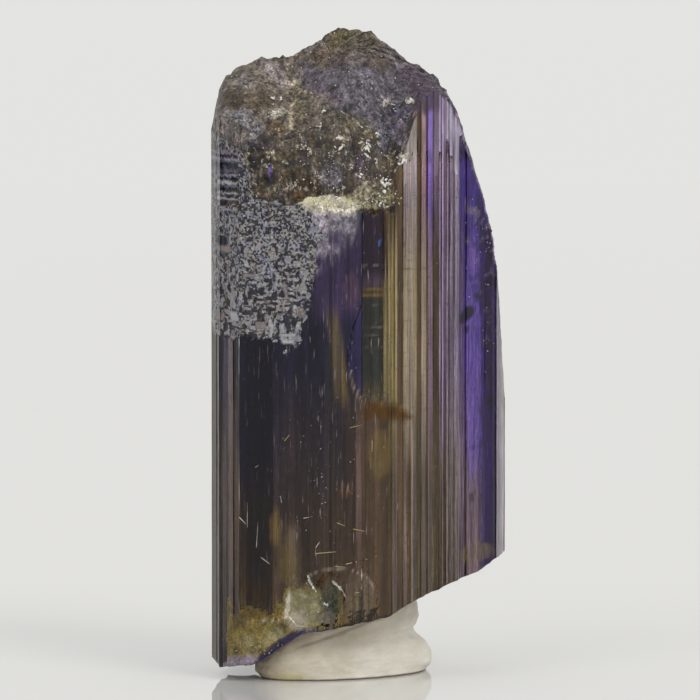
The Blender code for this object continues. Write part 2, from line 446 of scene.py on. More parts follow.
def on_flat_blocks(tint, x, z):
    """A tint with the flat blocks laid over it, and 1 where there is one."""
    most = 0.0
    for at_x, at_z, wide, tall, own in FLAT_BLOCKS:
        if abs(x - at_x) < 0.7 and abs(z - at_z) < 0.5:
            there = inside(x + 0.2 * (z - at_z), at_x - wide, at_x + wide, 0.04)
            there *= inside(z, at_z - tall, at_z + tall, 0.04)
            tint, most = tint.lerp(own, there), max(most, there)
    return tint, most


def steps_share(x, z):
    """1 on the level steps beside the upper left edge, 0 elsewhere."""
    return soft(*STEPS_FOOT, z) * soft(*STEPS_HEAD, z) * soft(*STEPS_RIGHT, x)


def step_at(x, z):
    """The level step at a height."""
    z += 0.03 * grain(x, 0.0, z, 0.4)
    return [step for step in STEPS if step[0] <= z or step is STEPS[0]][-1]


def steps_depth(x, z):
    """How deep the level steps lie."""
    there = steps_share(x, z)
    return there * step_at(x, z)[1] if there else 0.0


def rim_depth(x, z):
    """The rough hollows of the wall where it belongs to the broken top."""
    rough = 0.22 * abs(grain(x, 8.0, z, 0.5)) + 0.10 * abs(grain(x, 8.0, z * 0.6, 0.2))
    rough += 0.05 * grain(x, 9.0, z * 0.3, 0.1)
    return broken_rim(x, z) * rough * (1 - 0.9 * lens_share(x, z))


# The sunk panel: where its sides and ends start and are full, and how deep it lies.
PANEL_LEFT, PANEL_RIGHT = (0.12, 0.20), (1.28, 1.18)
PANEL_FOOT, PANEL_HEAD = (13.5, 13.9), (22.6, 22.2)
PANEL_DEPTH, CHIP_DEPTH = 0.22, 0.16
# The curved edge of the chip left of the sunk panel, as (z, x).
CHIP_EDGE = ((13.3, 0.25), (14.0, -0.25), (15.5, -0.62), (17.0, -0.30), (18.2, 0.15))


def panel_depth(x, z):
    """The sunk panel right of the middle, and the curved chip along its lower left side."""
    panel = soft(*PANEL_LEFT, x) * soft(*PANEL_RIGHT, x)
    panel *= soft(*PANEL_FOOT, z)
    panel *= soft(*PANEL_HEAD, z)
    chip = soft(0.0, 0.12, x - along(CHIP_EDGE, z)) * soft(0.25, 0.12, x)
    chip *= soft(13.2, 13.5, z) * soft(18.4, 17.8, z)
    return PANEL_DEPTH * panel + CHIP_DEPTH * chip


# Shell-like chips along the foot of the front, as (x, z, half width, half height, depth).
FOOT_CHIPS = (
    (-2.62, 3.75, 1.00, 1.40, 0.30),
    (-1.38, 4.10, 0.68, 1.25, 0.50),
    (-0.05, 4.00, 1.05, 1.55, 0.12),
    (-4.90, 1.90, 1.40, 1.45, 0.16),
)
# The pale edge round the shallow chip at the right, as (x, z).
CHIP_ARC = ((-2.4, 5.1), (-1.9, 5.35), (-1.2, 5.5), (-0.4, 5.45), (0.4, 5.1), (0.8, 4.5))


def chips_depth(x, z):
    """How deep the chips at the foot cut at a place on the front."""
    depth = 0.0
    for number, (at_x, at_z, wide, tall, deep) in enumerate(FOOT_CHIPS):
        off = off_middle(x, z, at_x, at_z, wide, tall)
        off += 0.30 * grain(x, float(number), z, 0.7, 7.0) + 0.10 * grain(x, 1.0, z, 0.2, 7.0)
        if off < 1.0:
            ripple = 0.1 * deep * sin(off * 19.0 + number)
            depth = max(depth, deep * (1 - off * off) ** 0.6 + ripple * (1 - off))
    return depth


def inside(at, low, high, blur):
    """1 between low and high and 0 outside, changing over a blur at both ends."""
    return soft(low - blur, low + blur, at) * soft(high + blur, high - blur, at)


# Patches of other tints on the front: the x and z of the middle, half the width and height,
# how far it leans right as it climbs, its tint and how strong that is.
TOP_PATCHES = (
    (-5.7, 26.3, 1.2, 0.9, 0.0, ASH, 0.5),
    (-6.0, 27.5, 0.60, 0.50, 0.0, UMBER, 0.85),
    (-4.0, 28.7, 0.55, 0.75, -0.8, ASH, 0.8),
    (-5.3, 28.3, 0.60, 0.35, 0.0, ASH, 0.6),
    (-4.7, 27.4, 0.70, 0.50, 0.0, BROWN, 0.6),
    (-3.2, 28.3, 0.35, 0.20, -0.8, PALE, 0.7),
    (-2.9, 27.6, 0.45, 0.60, -0.3, KHAKI, 0.5),
    (-2.8, 26.9, 0.40, 0.60, 0.0, KHAKI, 0.5),
    (-3.2, 26.7, 0.13, 0.55, 0.0, BEIGE, 0.9),
    (-3.8, 26.9, 0.34, 0.20, 0.5, CREAM, 0.8),
    (-3.9, 26.2, 0.40, 0.32, 0.0, RUST, 0.45),
    (-1.9, 27.5, 0.90, 0.40, -0.6, TAUPE, 0.7),
    (-1.7, 28.0, 0.30, 0.85, -1.1, PLUM, 0.7),
    (-0.9, 27.0, 0.50, 0.16, -1.6, DUSK, 0.6),
    (-0.1, 26.4, 0.80, 0.50, -1.0, MOSS, 0.6),
    (-0.2, 30.2, 1.20, 0.55, -0.5, MOSS, 0.5),
    (-1.5, 29.4, 0.90, 0.50, 0.0, BROWN, 0.5),
    (0.9, 29.2, 0.80, 0.45, -0.8, BROWN, 0.5),
    (2.8, 28.3, 1.00, 0.75, -0.9, PLUM, 0.9),
    (3.3, 27.3, 0.70, 0.60, -0.6, PLUM, 0.9),
    (2.1, 26.8, 0.50, 0.40, -0.6, BOTTLE, 0.6),
    (1.5, 26.9, 0.20, 0.45, 1.2, INK, 0.7),
    (-4.5, 25.5, 0.60, 0.55, 0.2, DUSK, 0.70),
    (-4.17, 24.3, 0.10, 0.42, 0.15, VIOLET, 0.30),
    (-5.05, 24.6, 0.32, 0.38, 0.0, INK, 0.9),
    (-5.0, 24.05, 0.34, 0.06, 0.0, ASH, 0.9),
    (-5.35, 24.4, 0.10, 0.70, 0.1, BEIGE, 0.7),
    (-3.6, 24.9, 0.90, 0.16, 0.0, MOSS, 0.8),
    (-4.1, 25.12, 0.50, 0.035, 0.0, BEIGE, 0.8),
    (-4.9, 23.3, 0.80, 0.45, 0.3, UMBER, 0.7),
    (-3.2, 23.9, 0.80, 0.70, 0.0, UMBER, 0.7),
    (-2.6, 23.1, 0.50, 0.30, 0.0, RUST, 0.35),
    (-1.3, 24.0, 0.60, 0.55, 0.0, SMOKE, 0.8),
    (-5.25, 23.4, 0.28, 0.95, 0.0, ASH, 0.8),
    (1.2, 25.6, 0.30, 1.30, 0.5, SLATE, 0.6),
    (-0.5, 25.2, 0.35, 0.60, 0.2, DUSK, 0.7),
    (0.1, 24.5, 0.30, 0.70, 0.2, PLUM, 0.7),
    (-3.9, 23.4, 0.60, 0.30, 0.3, TAUPE, 0.7),
    (-1.6, 25.1, 0.80, 0.40, 0.3, UMBER, 0.7),
    (-0.9, 25.8, 0.45, 0.20, -0.8, KHAKI, 0.6),
    (0.7, 24.6, 0.55, 1.00, 0.2, UMBER, 0.6),
    (0.6, 23.0, 1.30, 0.45, 0.0, SALLOW, 0.8),
    (0.2, 23.3, 0.40, 0.60, 0.0, BEIGE, 0.5),
)
BODY_PATCHES = (
    (-5.40, 11.5, 0.30, 2.8, 0.0, NAVY, 0.7),
    (-3.93, 7.4, 0.28, 0.90, 0.0, OLIVE, 0.8),
    (-3.30, 5.6, 0.45, 1.10, 0.0, OLIVE, 0.6),
    (-0.64, 9.2, 0.42, 0.33, 0.0, RUST, 0.7),
    (0.00, 9.0, 0.10, 3.50, 0.0, ROSE, 0.30),
    (1.00, 11.0, 0.60, 1.20, 0.0, OLIVE, 0.4),
    (0.05, 4.00, 0.80, 1.20, 0.0, KHAKI, 0.5),
    (-0.35, 18.7, 0.42, 0.85, 0.0, WINE, 0.6),
    (-3.00, 6.00, 0.28, 1.50, 0.0, KHAKI, 0.5),
    (-4.90, 4.30, 0.60, 0.60, 0.0, RUST, 0.5),
    (-1.40, 14.5, 0.20, 1.80, 0.0, BOTTLE, 0.5),
    (5.12, 17.4, 0.34, 0.46, 0.5, SLOE, 0.97),
    (5.06, 16.7, 0.16, 0.20, 0.0, SLOE, 0.8),
    (6.12, 15.95, 0.14, 0.22, 0.0, SLOE, 0.8),
    (6.26, 13.1, 0.17, 0.36, 0.0, SLOE, 0.8),
    (6.40, 9.05, 0.12, 0.22, 0.0, SLOE, 0.8),
    (5.36, 8.7, 0.12, 0.22, 0.0, SLOE, 0.7),
    (5.60, 6.0, 0.90, 0.50, 0.3, GOLD, 0.5),
    # painted glint: a small blue gleam on the dark panel
    (1.00, 20.95, 0.05, 0.16, 0.2, PAINTED_GLINT_BLUE, 0.7),
)
FOOT_PATCHES = (
    (-5.0, 2.3, 1.40, 1.30, 0.0, OLIVE, 0.9),
    (-5.6, 3.0, 0.45, 0.50, 0.0, BROWN, 0.7),
    (-4.0, 2.3, 0.50, 0.35, 0.4, SALLOW, 0.7),
    (-4.9, 1.5, 0.60, 0.16, 0.8, MOSS, 0.8),
    (-4.6, 3.35, 1.10, 0.35, 0.0, RUST, 0.5),
    (-5.3, 1.9, 0.50, 0.40, 0.0, SALLOW, 0.5),
    (-4.2, 1.9, 0.50, 0.30, 0.7, GOLD, 0.5),
    (-4.3, 2.95, 0.50, 0.06, 0.0, PALE, 0.8),
    (0.05, 4.1, 0.75, 1.30, 0.0, OLIVE, 0.7),
    (0.30, 3.3, 0.70, 0.30, 0.5, SALLOW, 0.5),
    (-2.6, 3.7, 0.85, 1.10, 0.0, SALLOW, 0.9),
    (-2.9, 3.0, 0.45, 0.45, 0.0, PALE, 0.8),
    (-2.4, 4.5, 0.25, 0.30, 0.0, OLIVE, 0.6),
    # painted highlight: a thin cream streak along the chip's edge
    (-3.35, 3.7, 0.11, 0.70, 0.1, CREAM, 0.9),
    (-1.35, 4.1, 0.52, 1.15, -0.1, FERN, 0.95),
    (-1.25, 3.5, 0.25, 0.50, 0.2, BOTTLE, 0.8),
    (-1.45, 3.1, 0.45, 0.35, 0.0, TAUPE, 0.8),
)


def laid_over(tint, x, z, patches, ragged=0.5):
    """A tint with ragged patches of other tints laid over it, one after another."""
    for number, (at_x, at_z, wide, tall, lean, over, part) in enumerate(patches):
        up = (z - at_z) / tall
        if abs(up) < 1.6:
            across = (x - at_x - lean * (z - at_z)) / wide
            if abs(across) < 1.6:
                off = hypot(across, up) + ragged * grain(x, float(number), z, 0.22, 3.0)
                tint = tint.lerp(over, part * soft(1.15, 0.75, off))
    return tint


def body_tint(x, z):
    """The big front face: navy above, dusky brown below and olive at the foot, with a painted glint
    along the curved chip edge.
    """
    level = z + 1.5 * grain(x * 2.0, 0.0, z * 0.3, 1.0, 5.0)
    tint = along(((2.8, OLIVE), (4.2, BROWN), (6.5, UMBER), (11.0, DUSK), (15.0, NAVY)), level)
    left = soft(-3.6, -4.6, x) * soft(8.0, 10.5, level)
    tint = tint.lerp(NAVY, 0.8 * left)
    right = soft(-0.9, 0.4, x + 0.4 * grain(x, 0.0, z, 1.5)) * soft(15.5, 12.5, z)
    tint = tint.lerp(BROWN, 0.8 * right)
    violet = inside(x, -2.3, 0.1, 0.3) * inside(z, 17.4, 21.6, 0.5)
    tint = tint.lerp(PURPLE, 0.75 * violet)
    stain = inside(x, -3.8, -2.9, 0.25) * inside(z, 4.6, 7.4, 0.5)
    tint = tint.lerp(KHAKI, 0.8 * stain * (0.3 + 0.6 * chance(floor(x / 0.11), 3)))
    sliver = inside(x - 0.10 * (16.0 - z), -1.35, -0.75, 0.12) * inside(z, 13.4, 17.6, 0.7)
    tint = tint.lerp(OLIVE, sliver * 0.8 * chance(floor(x / 0.13), 9))
    # painted highlight: a thin beige line along the curved chip edge, for the glint on it
    off = x - along(CHIP_EDGE, z) - 0.04
    chip = exp(-((off / 0.05) ** 2)) * soft(13.3, 13.6, z) * soft(15.2, 14.2, z)
    sliver = soft(0.0, 0.1, off) * soft(0.3, 0.2, x) * inside(z, 13.6, 18.0, 0.3)
    tint = tint.lerp(INDIGO, 0.4 * sliver)
    return tint.lerp(BEIGE, 0.6 * chip)


# The heights of the fine pale lines across the sunk panel.
PANEL_LINES = (14.38, 15.43, 15.95, 16.52, 16.90, 18.0, 19.86)


def panel_tint(x, z):
    """The sunk panel: bottle green below, ink above, with a golden bar and fine pale lines."""
    tint = along(((13.5, MOSS), (14.6, BOTTLE), (18.6, BOTTLE), (19.0, PLUM), (19.6, MULBERRY)), z)
    tint = tint.lerp(BROWN, 0.8 * inside(z, 18.35, 18.85, 0.12))
    bar = z + 0.05 * grain(x, 1.0, z, 0.3)
    tint = tint.lerp(AMBER, 0.8 * inside(bar, 18.42, 18.46, 0.03))
    tint = tint.lerp(OLIVE, 0.8 * inside(bar, 18.66, 18.72, 0.03))
    for line in PANEL_LINES:
        wavy = line + 0.05 * grain(x, line, 0.0, 0.3)
        here = soft(-0.3, 0.3, grain(x, line, 1.0, 0.25))
        tint = tint.lerp(PALE, 0.7 * (inside(z, wavy - 0.01, wavy + 0.01, 0.045) * here))
    beside = BROWN.lerp(GOLD, inside(z, 13.6, 19.2, 0.5) * (0.4 + 0.6 * chance(floor(x / 0.09))))
    return (tint * 0.85).lerp(beside, soft(1.16, 1.22, x))


def rusted(tint, x, z):
    """A tint with the rusty stain below the panel over it, which is amber along its top."""
    middle = 13.05 - 0.12 * (x - 0.2) - 0.10 * (x - 1.2) ** 2
    thick = 0.36 * soft(3.0, 1.2, x) * soft(-0.1, 0.5, x) + 0.05
    at = z - middle + 0.22 * grain(x, 0.0, z, 0.5, 8.0)
    there = inside(x, 0.2, 2.6, 0.25)
    tint = tint.lerp(RUST, 0.97 * there * inside(at, -thick, thick, 0.15))
    return tint.lerp(AMBER, 0.7 * there * inside(at, thick - 0.02, thick + 0.08, 0.08))


def band_tint(tints, x, z):
    """A band's tint at a height, between those it has high up, halfway and low."""
    high, halfway, low = tints
    z += 0.9 * grain(x * 4.0, 2.0, z * 0.4, 1.0, 6.0)
    stops = ((LOW_TO, low), (HALFWAY_FROM, halfway), (HALFWAY_TO, halfway), (HIGH_FROM, high))
    return along(stops, z)


def window_tint(tint, x, z):
    """The clear violet window near the right edge, with the dark shapes round it and painted lilac
    glints.
    """
    slant = 5.17 + 0.66 * soft(19.4, 16.8, z) + 0.1 * grain(0.0, 0.0, z, 0.6)
    shadow = inside(x, slant, 6.6, 0.06) * soft(20.5, 19.0, z)
    tint = tint.lerp(DAMSON, 0.8 * shadow * (0.6 + 0.8 * abs(grain(x, 0.0, z, 0.45, 2.0))))
    wedge = inside(x, 5.17, slant, 0.05) * soft(19.6, 19.0, z) * soft(8.5, 11.5, z)
    tint = tint.lerp(VIOLET, 0.9 * wedge)
    middle = noise.voronoi(Vector((x / 0.34 + 0.5 * z, 0.0, z / 0.55)))[1][0]
    facet = 0.55 + 0.9 * chance(middle.x * 9, middle.z * 9)
    tint = tint * (1 + (facet - 1) * inside(x, 5.3, 6.7, 0.2) * soft(14.5, 18.0, z))
    # painted glints: lilac gleams and glitter laid over the window's facets
    gleam = soft(0.42, 0.62, grain(x * 1.6, 1.0, z * 0.8, 0.42, 9.0))
    glitter = soft(0.30, 0.45, grain(x, 4.0, z, 0.22, 5.0)) * soft(5.5, 5.9, x)
    glitter *= soft(16.5, 18.5, z)
    tint = tint.lerp(LILAC, 0.5 * glitter)
    gleam *= inside(x, 5.0, 6.7, 0.1) * soft(14.0, 19.0, z)
    return tint.lerp(LILAC, 0.6 * gleam)


def top_tint(x, z):
    """The broken top as the front shows it: olive brown, smoky violet behind the crease, with a
    painted highlight along the crease.
    """
    crease = along(((-2.9, 28.2), (-1.6, 27.2), (-0.64, 26.8), (0.95, 25.9), (2.2, 25.3)), x)
    behind = soft(-0.05, 0.15, z - crease + 0.10 * grain(x, 0.0, z, 0.4)) * soft(-3.3, -2.3, x)
    tint = TAUPE.lerp(SMOKE, behind * soft(30.6, 28.8, z))
    low = soft(27.0, 25.4, z) * (1 - behind)
    tint = tint.lerp(UMBER, low)
    tint = tint.lerp(INK, 0.75 * low * soft(-0.05, 0.30, grain(x, 9.0, z * 0.7, 0.5, 3.0)))
    tint = tint.lerp(TAUPE, 0.6 * low * soft(0.10, 0.40, grain(x, 3.0, z * 0.8, 0.45, 6.0)))
    tint = tint.lerp(BROWN, soft(25.6, 24.0, z) * soft(0.0, 1.5, x) * 0.5)
    tint = tint.lerp(OLIVE, 0.6 * soft(0.0, 0.5, grain(x, 1.0, z, 1.1)) * soft(28.6, 29.8, z))
    tint = tint.lerp(INK, 0.5 * soft(0.1, 0.6, grain(x, 5.0, z, 0.45, 3.0)))
    tint = laid_over(tint, x, z, TOP_PATCHES)
    # painted highlight: a thin pale line along the crease, for its lit edge
    line = exp(-((z - crease - 0.02) / 0.035) ** 2) * inside(x, -2.6, 1.2, 0.2)
    return tint.lerp(PALE, 0.7 * line * soft(-0.1, 0.3, grain(x, 2.0, z, 0.3)))


def foot_tint(x, z):
    """The broken foot: mossy olive at the left, a pale shell-like chip, olive to the right."""
    tint = OLIVE.lerp(MOSS, soft(-0.2, 0.4, grain(x, 0.0, z, 0.5, 2.0)))
    tint = laid_over(tint.lerp(MOSS, 0.5 * soft(0.4, 1.0, x)), x, z, FOOT_PATCHES)
    up = z - foot_height(x, FRONT_Y)
    tint = tint.lerp(LILAC, 0.8 * soft(0.46, 0.28, up) * inside(x, -6.6, -4.8, 0.15))
    thick = along(((-5.0, 0.02), (-4.5, 0.26), (-3.4, 0.32), (-2.5, 0.16), (-1.2, 0.04)), x)
    return tint.lerp(SLOE, 0.95 * soft(thick + 0.05, thick - 0.05, up) * soft(-1.0, -1.4, x))


def back_tint(x, y, z):
    """The sides and back: clearer, smoky violet with brownish clouds."""
    cloud = 0.5 + 0.5 * grain(x, y, z * 0.4, 2.4, 4.0)
    return Vector((0.62, 0.55, 0.66)).lerp(Vector((0.50, 0.40, 0.34)), cloud)


def lens_share(x, z):
    """1 on the cream crust in the middle of the front, 0 outside it."""
    return soft(1.08, 0.92, off_middle(x, z, *LENS) + 0.25 * grain(x, 3.0, z, 0.3))


def veil_share(x, z):
    """How much of the thin lilac frost under the crust there is at a place."""
    fall = 0.6 * grain(x, 0, z, 0.7) + 1.0 * grain(x, 3.0, z * 0.3, 0.16)
    fall -= 1.3 * share(-2.3, -0.6, x)
    veil = inside(x, -2.95, 0.0, 0.15) * soft(19.0, 21.2, z + fall)
    return veil * soft(22.9, 22.4, z)


# Thin level cracks across the bands: the height of each, and the x where it starts and ends.
CRACKS = (
    (20.55, 2.15, 2.80),
    (19.70, 2.05, 3.30),
    (18.95, 2.20, 2.95),
    (16.40, 2.20, 2.75),
    (11.85, 3.90, 4.60),
    (11.05, 5.20, 6.00),
    (13.95, -6.45, -5.80),
    (13.55, -6.45, -5.80),
)


def wall_tint(x, y, z, rib):
    """The tint of the clear walls at the front."""
    if rib and rib.tints:
        tint = band_tint(rib.tints, x, z)
    elif x < 0.17 or z < 13.4:
        tint = body_tint(x, z)
    else:
        tint = panel_tint(x, z)
    tint = tint * (rib.light(z) if rib else 1.0)
    if x > 4.75:
        tint = window_tint(tint, x, z)
    tint = tint.lerp(DOVE, 0.8 * soft(25.2, 25.9, z) * soft(3.9, 4.4, x))
    tint = rusted(laid_over(tint, x, z, BODY_PATCHES, 0.3), x, z)
    for at, start, end in CRACKS:
        if abs(z - at) < 0.2 and start < x < end:
            here = at + 0.06 * grain(x, at, 0.0, 0.5)
            tint = tint.lerp(INK, 0.75 * inside(z, here - 0.015, here + 0.015, 0.03))
    return tint


def top_paint(x, y, z):
    """The broken top: rough and dull in front of the ridge, clearer behind it."""
    if y > RIDGE_Y + 0.2:
        return back_tint(x, y, z) * 0.8, 0.0, (0.2, 0.0, 0.6, 0.3)
    return top_tint(x, z), 1.0, (soft(*STREAKY_RIM, z), speckled_share(x, z), 1.0, 0.45)


def under_paint(x, y):
    """The broken underside: olive and brown, with violet and frost along its left edge."""
    tint = OLIVE.lerp(UMBER, soft(-0.4, 0.4, grain(x, y, 0.0, 0.9)))
    tint = tint.lerp(ASH, 0.5 * soft(0.1, 0.5, grain(x, y, 3.0, 0.4)))
    tint = tint.lerp(INDIGO, inside(x, -5.0, -1.2, 0.3))
    return tint.lerp(FROST, inside(x, -6.7, -5.0, 0.2)), 1.0, (0.0, 0.0, 0.4, 0.35)


def right_paint(x, y, z, rib, tint):
    """The banded faces right of the sunk panel, up to the broken shoulder, with painted light that
    makes them lighter high up.
    """
    edge = soft(6.60, 6.66, x)
    tint = back_tint(x, y, z).lerp(tint, soft(0.6, -0.8, y))
    tint = tint.lerp(tint * 0.6, edge)
    own = 2.4 * chance(rib.number, 8) if rib else 0.0
    capped = soft(23.5, 23.6, z - own + 0.3 * grain(x * 3, 4.0, z, 0.5)) * soft(5.1, 4.9, x)
    # painted light: the bands are made lighter high up, where too little light comes through the
    # back slope
    tint = tint * (1 + 0.25 * soft(20.5, 23.5, z) + 0.35 * soft(23.0, 24.5, z) * (1 - capped))
    tip = 0.85 * soft(26.9, 27.2, z + 0.3 * grain(x, 8.0, z, 0.3)) * soft(3.9, 3.6, x)
    tint = tint.lerp(PLUM, tip)
    broken = 0.5 * soft(-0.10, -0.04, x - right_limit(y, z)) * soft(16.0, 17.0, z)
    shoulder = min(2 * broken, 1.0) * soft(1.0, -1.0, y - 1.5)
    tint = tint.lerp(PLUM.lerp(HAZE, soft(-0.2, 0.4, grain(x, y, z, 0.35))), shoulder)
    scratched = 0.6 - 0.5 * soft(4.6, 4.9, x) + 0.6 * edge
    dull = max(edge * soft(19.0, 17.0, z), capped, shoulder)
    return tint, dull, (scratched, 0.0, broken, 0.35)


def foot_share(x, z):
    """1 on the broken foot of the front and on the pale chip above it, 0 elsewhere."""
    chip = soft(0.02, 0.05, chips_depth(x, z)) * soft(4.9, 4.2, z + 0.6 * grain(x, 5.0, z, 0.5))
    chip *= soft(-0.70, -0.85, x + 0.2 * grain(x, 6.0, z, 0.5))
    low = 3.3 - z - 0.55 * max(x + 3.4, 0.0) + 0.7 * grain(x, 0, z * 0.6, 0.5)
    low += 0.5 * grain(x, 2.0, z * 0.5, 0.17)
    return max(chip, soft(-0.35, 0.25, low) * inside(x, -6.25, -2.5, 0.15))


def crusted(tint, x, z, lens, veil):
    """A tint with the lilac frost over it, and the cream and butter yellow crust over that."""
    tint = tint.lerp(FROST * (2.1 - 1.2 * share(-2.3, -0.8, x)), 0.8 * veil)
    cream = CREAM.lerp(BUTTER, 0.7 * soft(-0.1, 0.3, grain(x, 3.0, z, 0.35)) * soft(22.5, 22.8, z))
    frosted = soft(22.50, 22.15, z + 0.2 * grain(x, 4.0, z, 0.4))
    return tint.lerp(cream.lerp(FROST, frosted), lens)


def front_paint(x, z, tint):
    """The big front face, etched and frosted above and chipped at its foot."""
    rim, lens, veil = broken_rim(x, z), lens_share(x, z), veil_share(x, z)
    stepped, at_foot = steps_share(x, z), foot_share(x, z)
    etched = max(etched_share(x, z), rim * speckled_share(x, z)) * (1 - stepped)
    veiled = soft(0.45, 0.55, veil * (0.5 + chance(floor(x / 0.13), floor(z / 0.17))))
    # painted reflection: the pale flat blocks stand for facets catching the light
    tint, flat = on_flat_blocks(tint.lerp(top_tint(x, z), rim), x, z)
    tint = crusted(tint, x, z, lens, veil)
    if stepped:
        # painted reflection: the pale step tints stand for light reflected by the level faces
        tint = tint.lerp(step_at(x, z)[2] * (0.8 + 0.4 * chance(floor(z / 0.09), 3)), stepped)
    tint = tint.lerp(foot_tint(x, z), at_foot)
    line = exp(-((z - along(CHIP_ARC, x)) / 0.03) ** 2) * inside(x, -2.4, 0.8, 0.1)
    tint = tint.lerp(PALE, 0.7 * line)
    dull = max(etched, rim, lens, veiled, at_foot, stepped, flat)
    etched *= (1 - flat) * (1 - 0.35 * soft(18.6, 20.6, z + 0.4 * grain(x, 5.0, z, 0.6)))
    glassy = soft(-3.6, -3.2, x)
    rough = 0.45 - 0.30 * at_foot * glassy - 0.25 * stepped
    broken = max(rim * (1 - 0.6 * lens), at_foot * (0.55 - 0.3 * glassy), 0.37 * lens, 0.8 * veiled)
    streaky = max(1 - dull, rim * soft(*STREAKY_RIM, z)) * (1 - lens)
    return tint, dull, (streaky, etched, broken, rough)


def crystal_paint(x, y, z, normal, rib):
    """The tint of a place, how dull it is, and how streaky, etched, broken and rough."""
    at_ridge = z > 20 and 0.6 < y < RIDGE_Y + 0.3 and z > top_height(x, y) - 0.2
    if normal.z > 0.3 and z > 20 or at_ridge:
        return top_paint(x, y, z)
    if normal.z < -0.3 and z < foot_height(x, y) + 0.1:
        return under_paint(x, y)
    if y > BACK_FROM:
        return back_tint(x, y, z) * (rib.light(z) if rib else 1.0), 0.0, (0.3, 0.0, 0.0, 0.0)
    tint = wall_tint(x, y, z, rib)
    if x > BANDS_FROM:
        return right_paint(x, y, z, rib, tint)
    if x < LEFT_EDGE and z < 24:
        etched = etched_share(x - max(y - LEFT_FACE_Y, 0.0), z)
        return tint * 0.45, 1.0, (0.5, etched, 0.2, 0.35)
    return front_paint(x, z, tint)


class Rib:
    """A straight upright band of a face: how deep it lies, how its face turns, and its tint."""

    def __init__(self, number, start, end, sunk, turn, tints=None):
        self.number, self.start, self.end = number, start, end
        self.sunk, self.turn, self.tints = sunk, turn, tints

    def depth(self, part, z):
        """How deep the band lies at a part of its width and at a height."""
        wave = 0.8 + 0.35 * noise.noise(Vector((self.number * 3.7, 0.0, z * 0.16)))
        return max(self.sunk * wave + self.turn * (part - 0.5), 0.0)

    def light(self, z):
        """How much lighter or darker than the crystal round it the band is at a height."""
        least, spread = (0.78, 0.45) if self.tints else (0.5, 1.1)
        own = least + spread * chance(self.number, 31)
        return own * (1 + 0.30 * noise.noise(Vector((self.number * 5.3, 7.0, z * 0.22))))


class Column:
    """One upright line of points on the walls."""

    def __init__(self, x, y, out_x, out_y, rib, part):
        self.x, self.y = x, y
        self.out_x, self.out_y = out_x, out_y
        self.rib, self.part = rib, part

    def at(self, z):
        """The point of this column at a height, with all the wear of the walls on it."""
        x, y = self.x, self.y
        sunk = self.rib.depth(self.part, z) if self.rib else 0.0
        if self.out_y < -0.3:
            etched = etched_share(x - max(y - LEFT_FACE_Y, 0.0), z)
            if etched > 0:
                sunk = sunk * (1 - 0.7 * etched) + etched * (0.02 + etched_depth(x, z))
            sunk += steps_depth(x, z) + panel_depth(x, z) + chips_depth(x, z)
            sunk = max(sunk + rim_depth(x, z), 0.0)
        sunk += 0.012 + 0.010 * grain(x, y, z, 2.5)
        x, y = x - self.out_x * sunk, y - self.out_y * sunk
        x = max(min(x, right_limit(y, z)), left_limit(y, z))
        return x, y


def face_ribs(number, length, wide, deep, pick):
    """Ribs of uneven width across a face, none of them deeper than deep."""
    edges = [0.0]
    while edges[-1] < length:
        edges.append(edges[-1] + wide * pick.uniform(0.4, 1.7))
    edges[-1] = length
    if edges[-1] - edges[-2] < 0.4 * wide:
        del edges[-2]
    return [
        Rib(number + i, start, end, deep * pick.random(), deep * pick.uniform(-0.6, 0.6))
        for i, (start, end) in enumerate(zip(edges, edges[1:]))
    ]


def band_ribs(number, x, next_x, length):
    """The named bands of a face, as ribs along it."""
    ribs, start = [], x
    for i, (end, sunk, turn, *tints) in enumerate(BANDS):
        end = min(end, next_x)
        if end <= x or start >= end:
            continue
        u, v = ((at - x) / (next_x - x) * length for at in (start, end))
        ribs.append(Rib(number + i, u, v, sunk, turn, tints))
        start = end
    return ribs


def prism_columns():
    """The columns round the prism, closer together on the faces that show best."""
    pick = random.Random(11)
    columns, number = [], 0
    corners = PRISM_FACES + PRISM_FACES[:1]
    for (x, y, spacing, wide, deep), (next_x, next_y, *_) in zip(corners, corners[1:]):
        length = hypot(next_x - x, next_y - y)
        way_x, way_y = (next_x - x) / length, (next_y - y) / length
        if wide:
            ribs = face_ribs(number, length, wide, deep, pick)
        else:
            ribs = band_ribs(number, x, next_x, length)
        number += 40
        columns.append(Column(x, y, way_y, -way_x, None, 0.0))
        for rib in ribs:
            start, end = rib.start + RISER, rib.end - RISER
            count = max(1, round((end - start) / spacing))
            for k in range(count + 1):
                u = start + (end - start) * k / count
                place = x + way_x * u, y + way_y * u
                columns.append(Column(*place, way_y, -way_x, rib, k / count))
    return columns


def where_it_ends(height, column, start):
    """The height at which a column meets a broken face."""
    z = start
    for _ in range(10):
        z = height(*column.at(z))
    return z


def wall_heights(low, high):
    """The heights of one column's points, from the foot to the rim of the top."""
    bands = (
        (low, FOOT_BAND_TOP, FOOT_ROWS),
        (FOOT_BAND_TOP, PLAIN_BAND_TOP, PLAIN_ROWS),
        (PLAIN_BAND_TOP, ETCHED_BAND_TOP, ETCHED_ROWS),
        (ETCHED_BAND_TOP, high, RIM_ROWS),
    )
    heights = [start + (end - start) * i / rows for start, end, rows in bands for i in range(rows)]
    return heights + [high]


def ring_towards(rim, centre, part, height):
    """A ring of a broken face, part of the way from its rim to its centre."""
    ring = []
    for point in rim:
        x = point.x + (centre[0] - point.x) * part
        y = point.y + (centre[1] - point.y) * part
        ring.append(Vector((x, y, height(x, y))))
    return ring


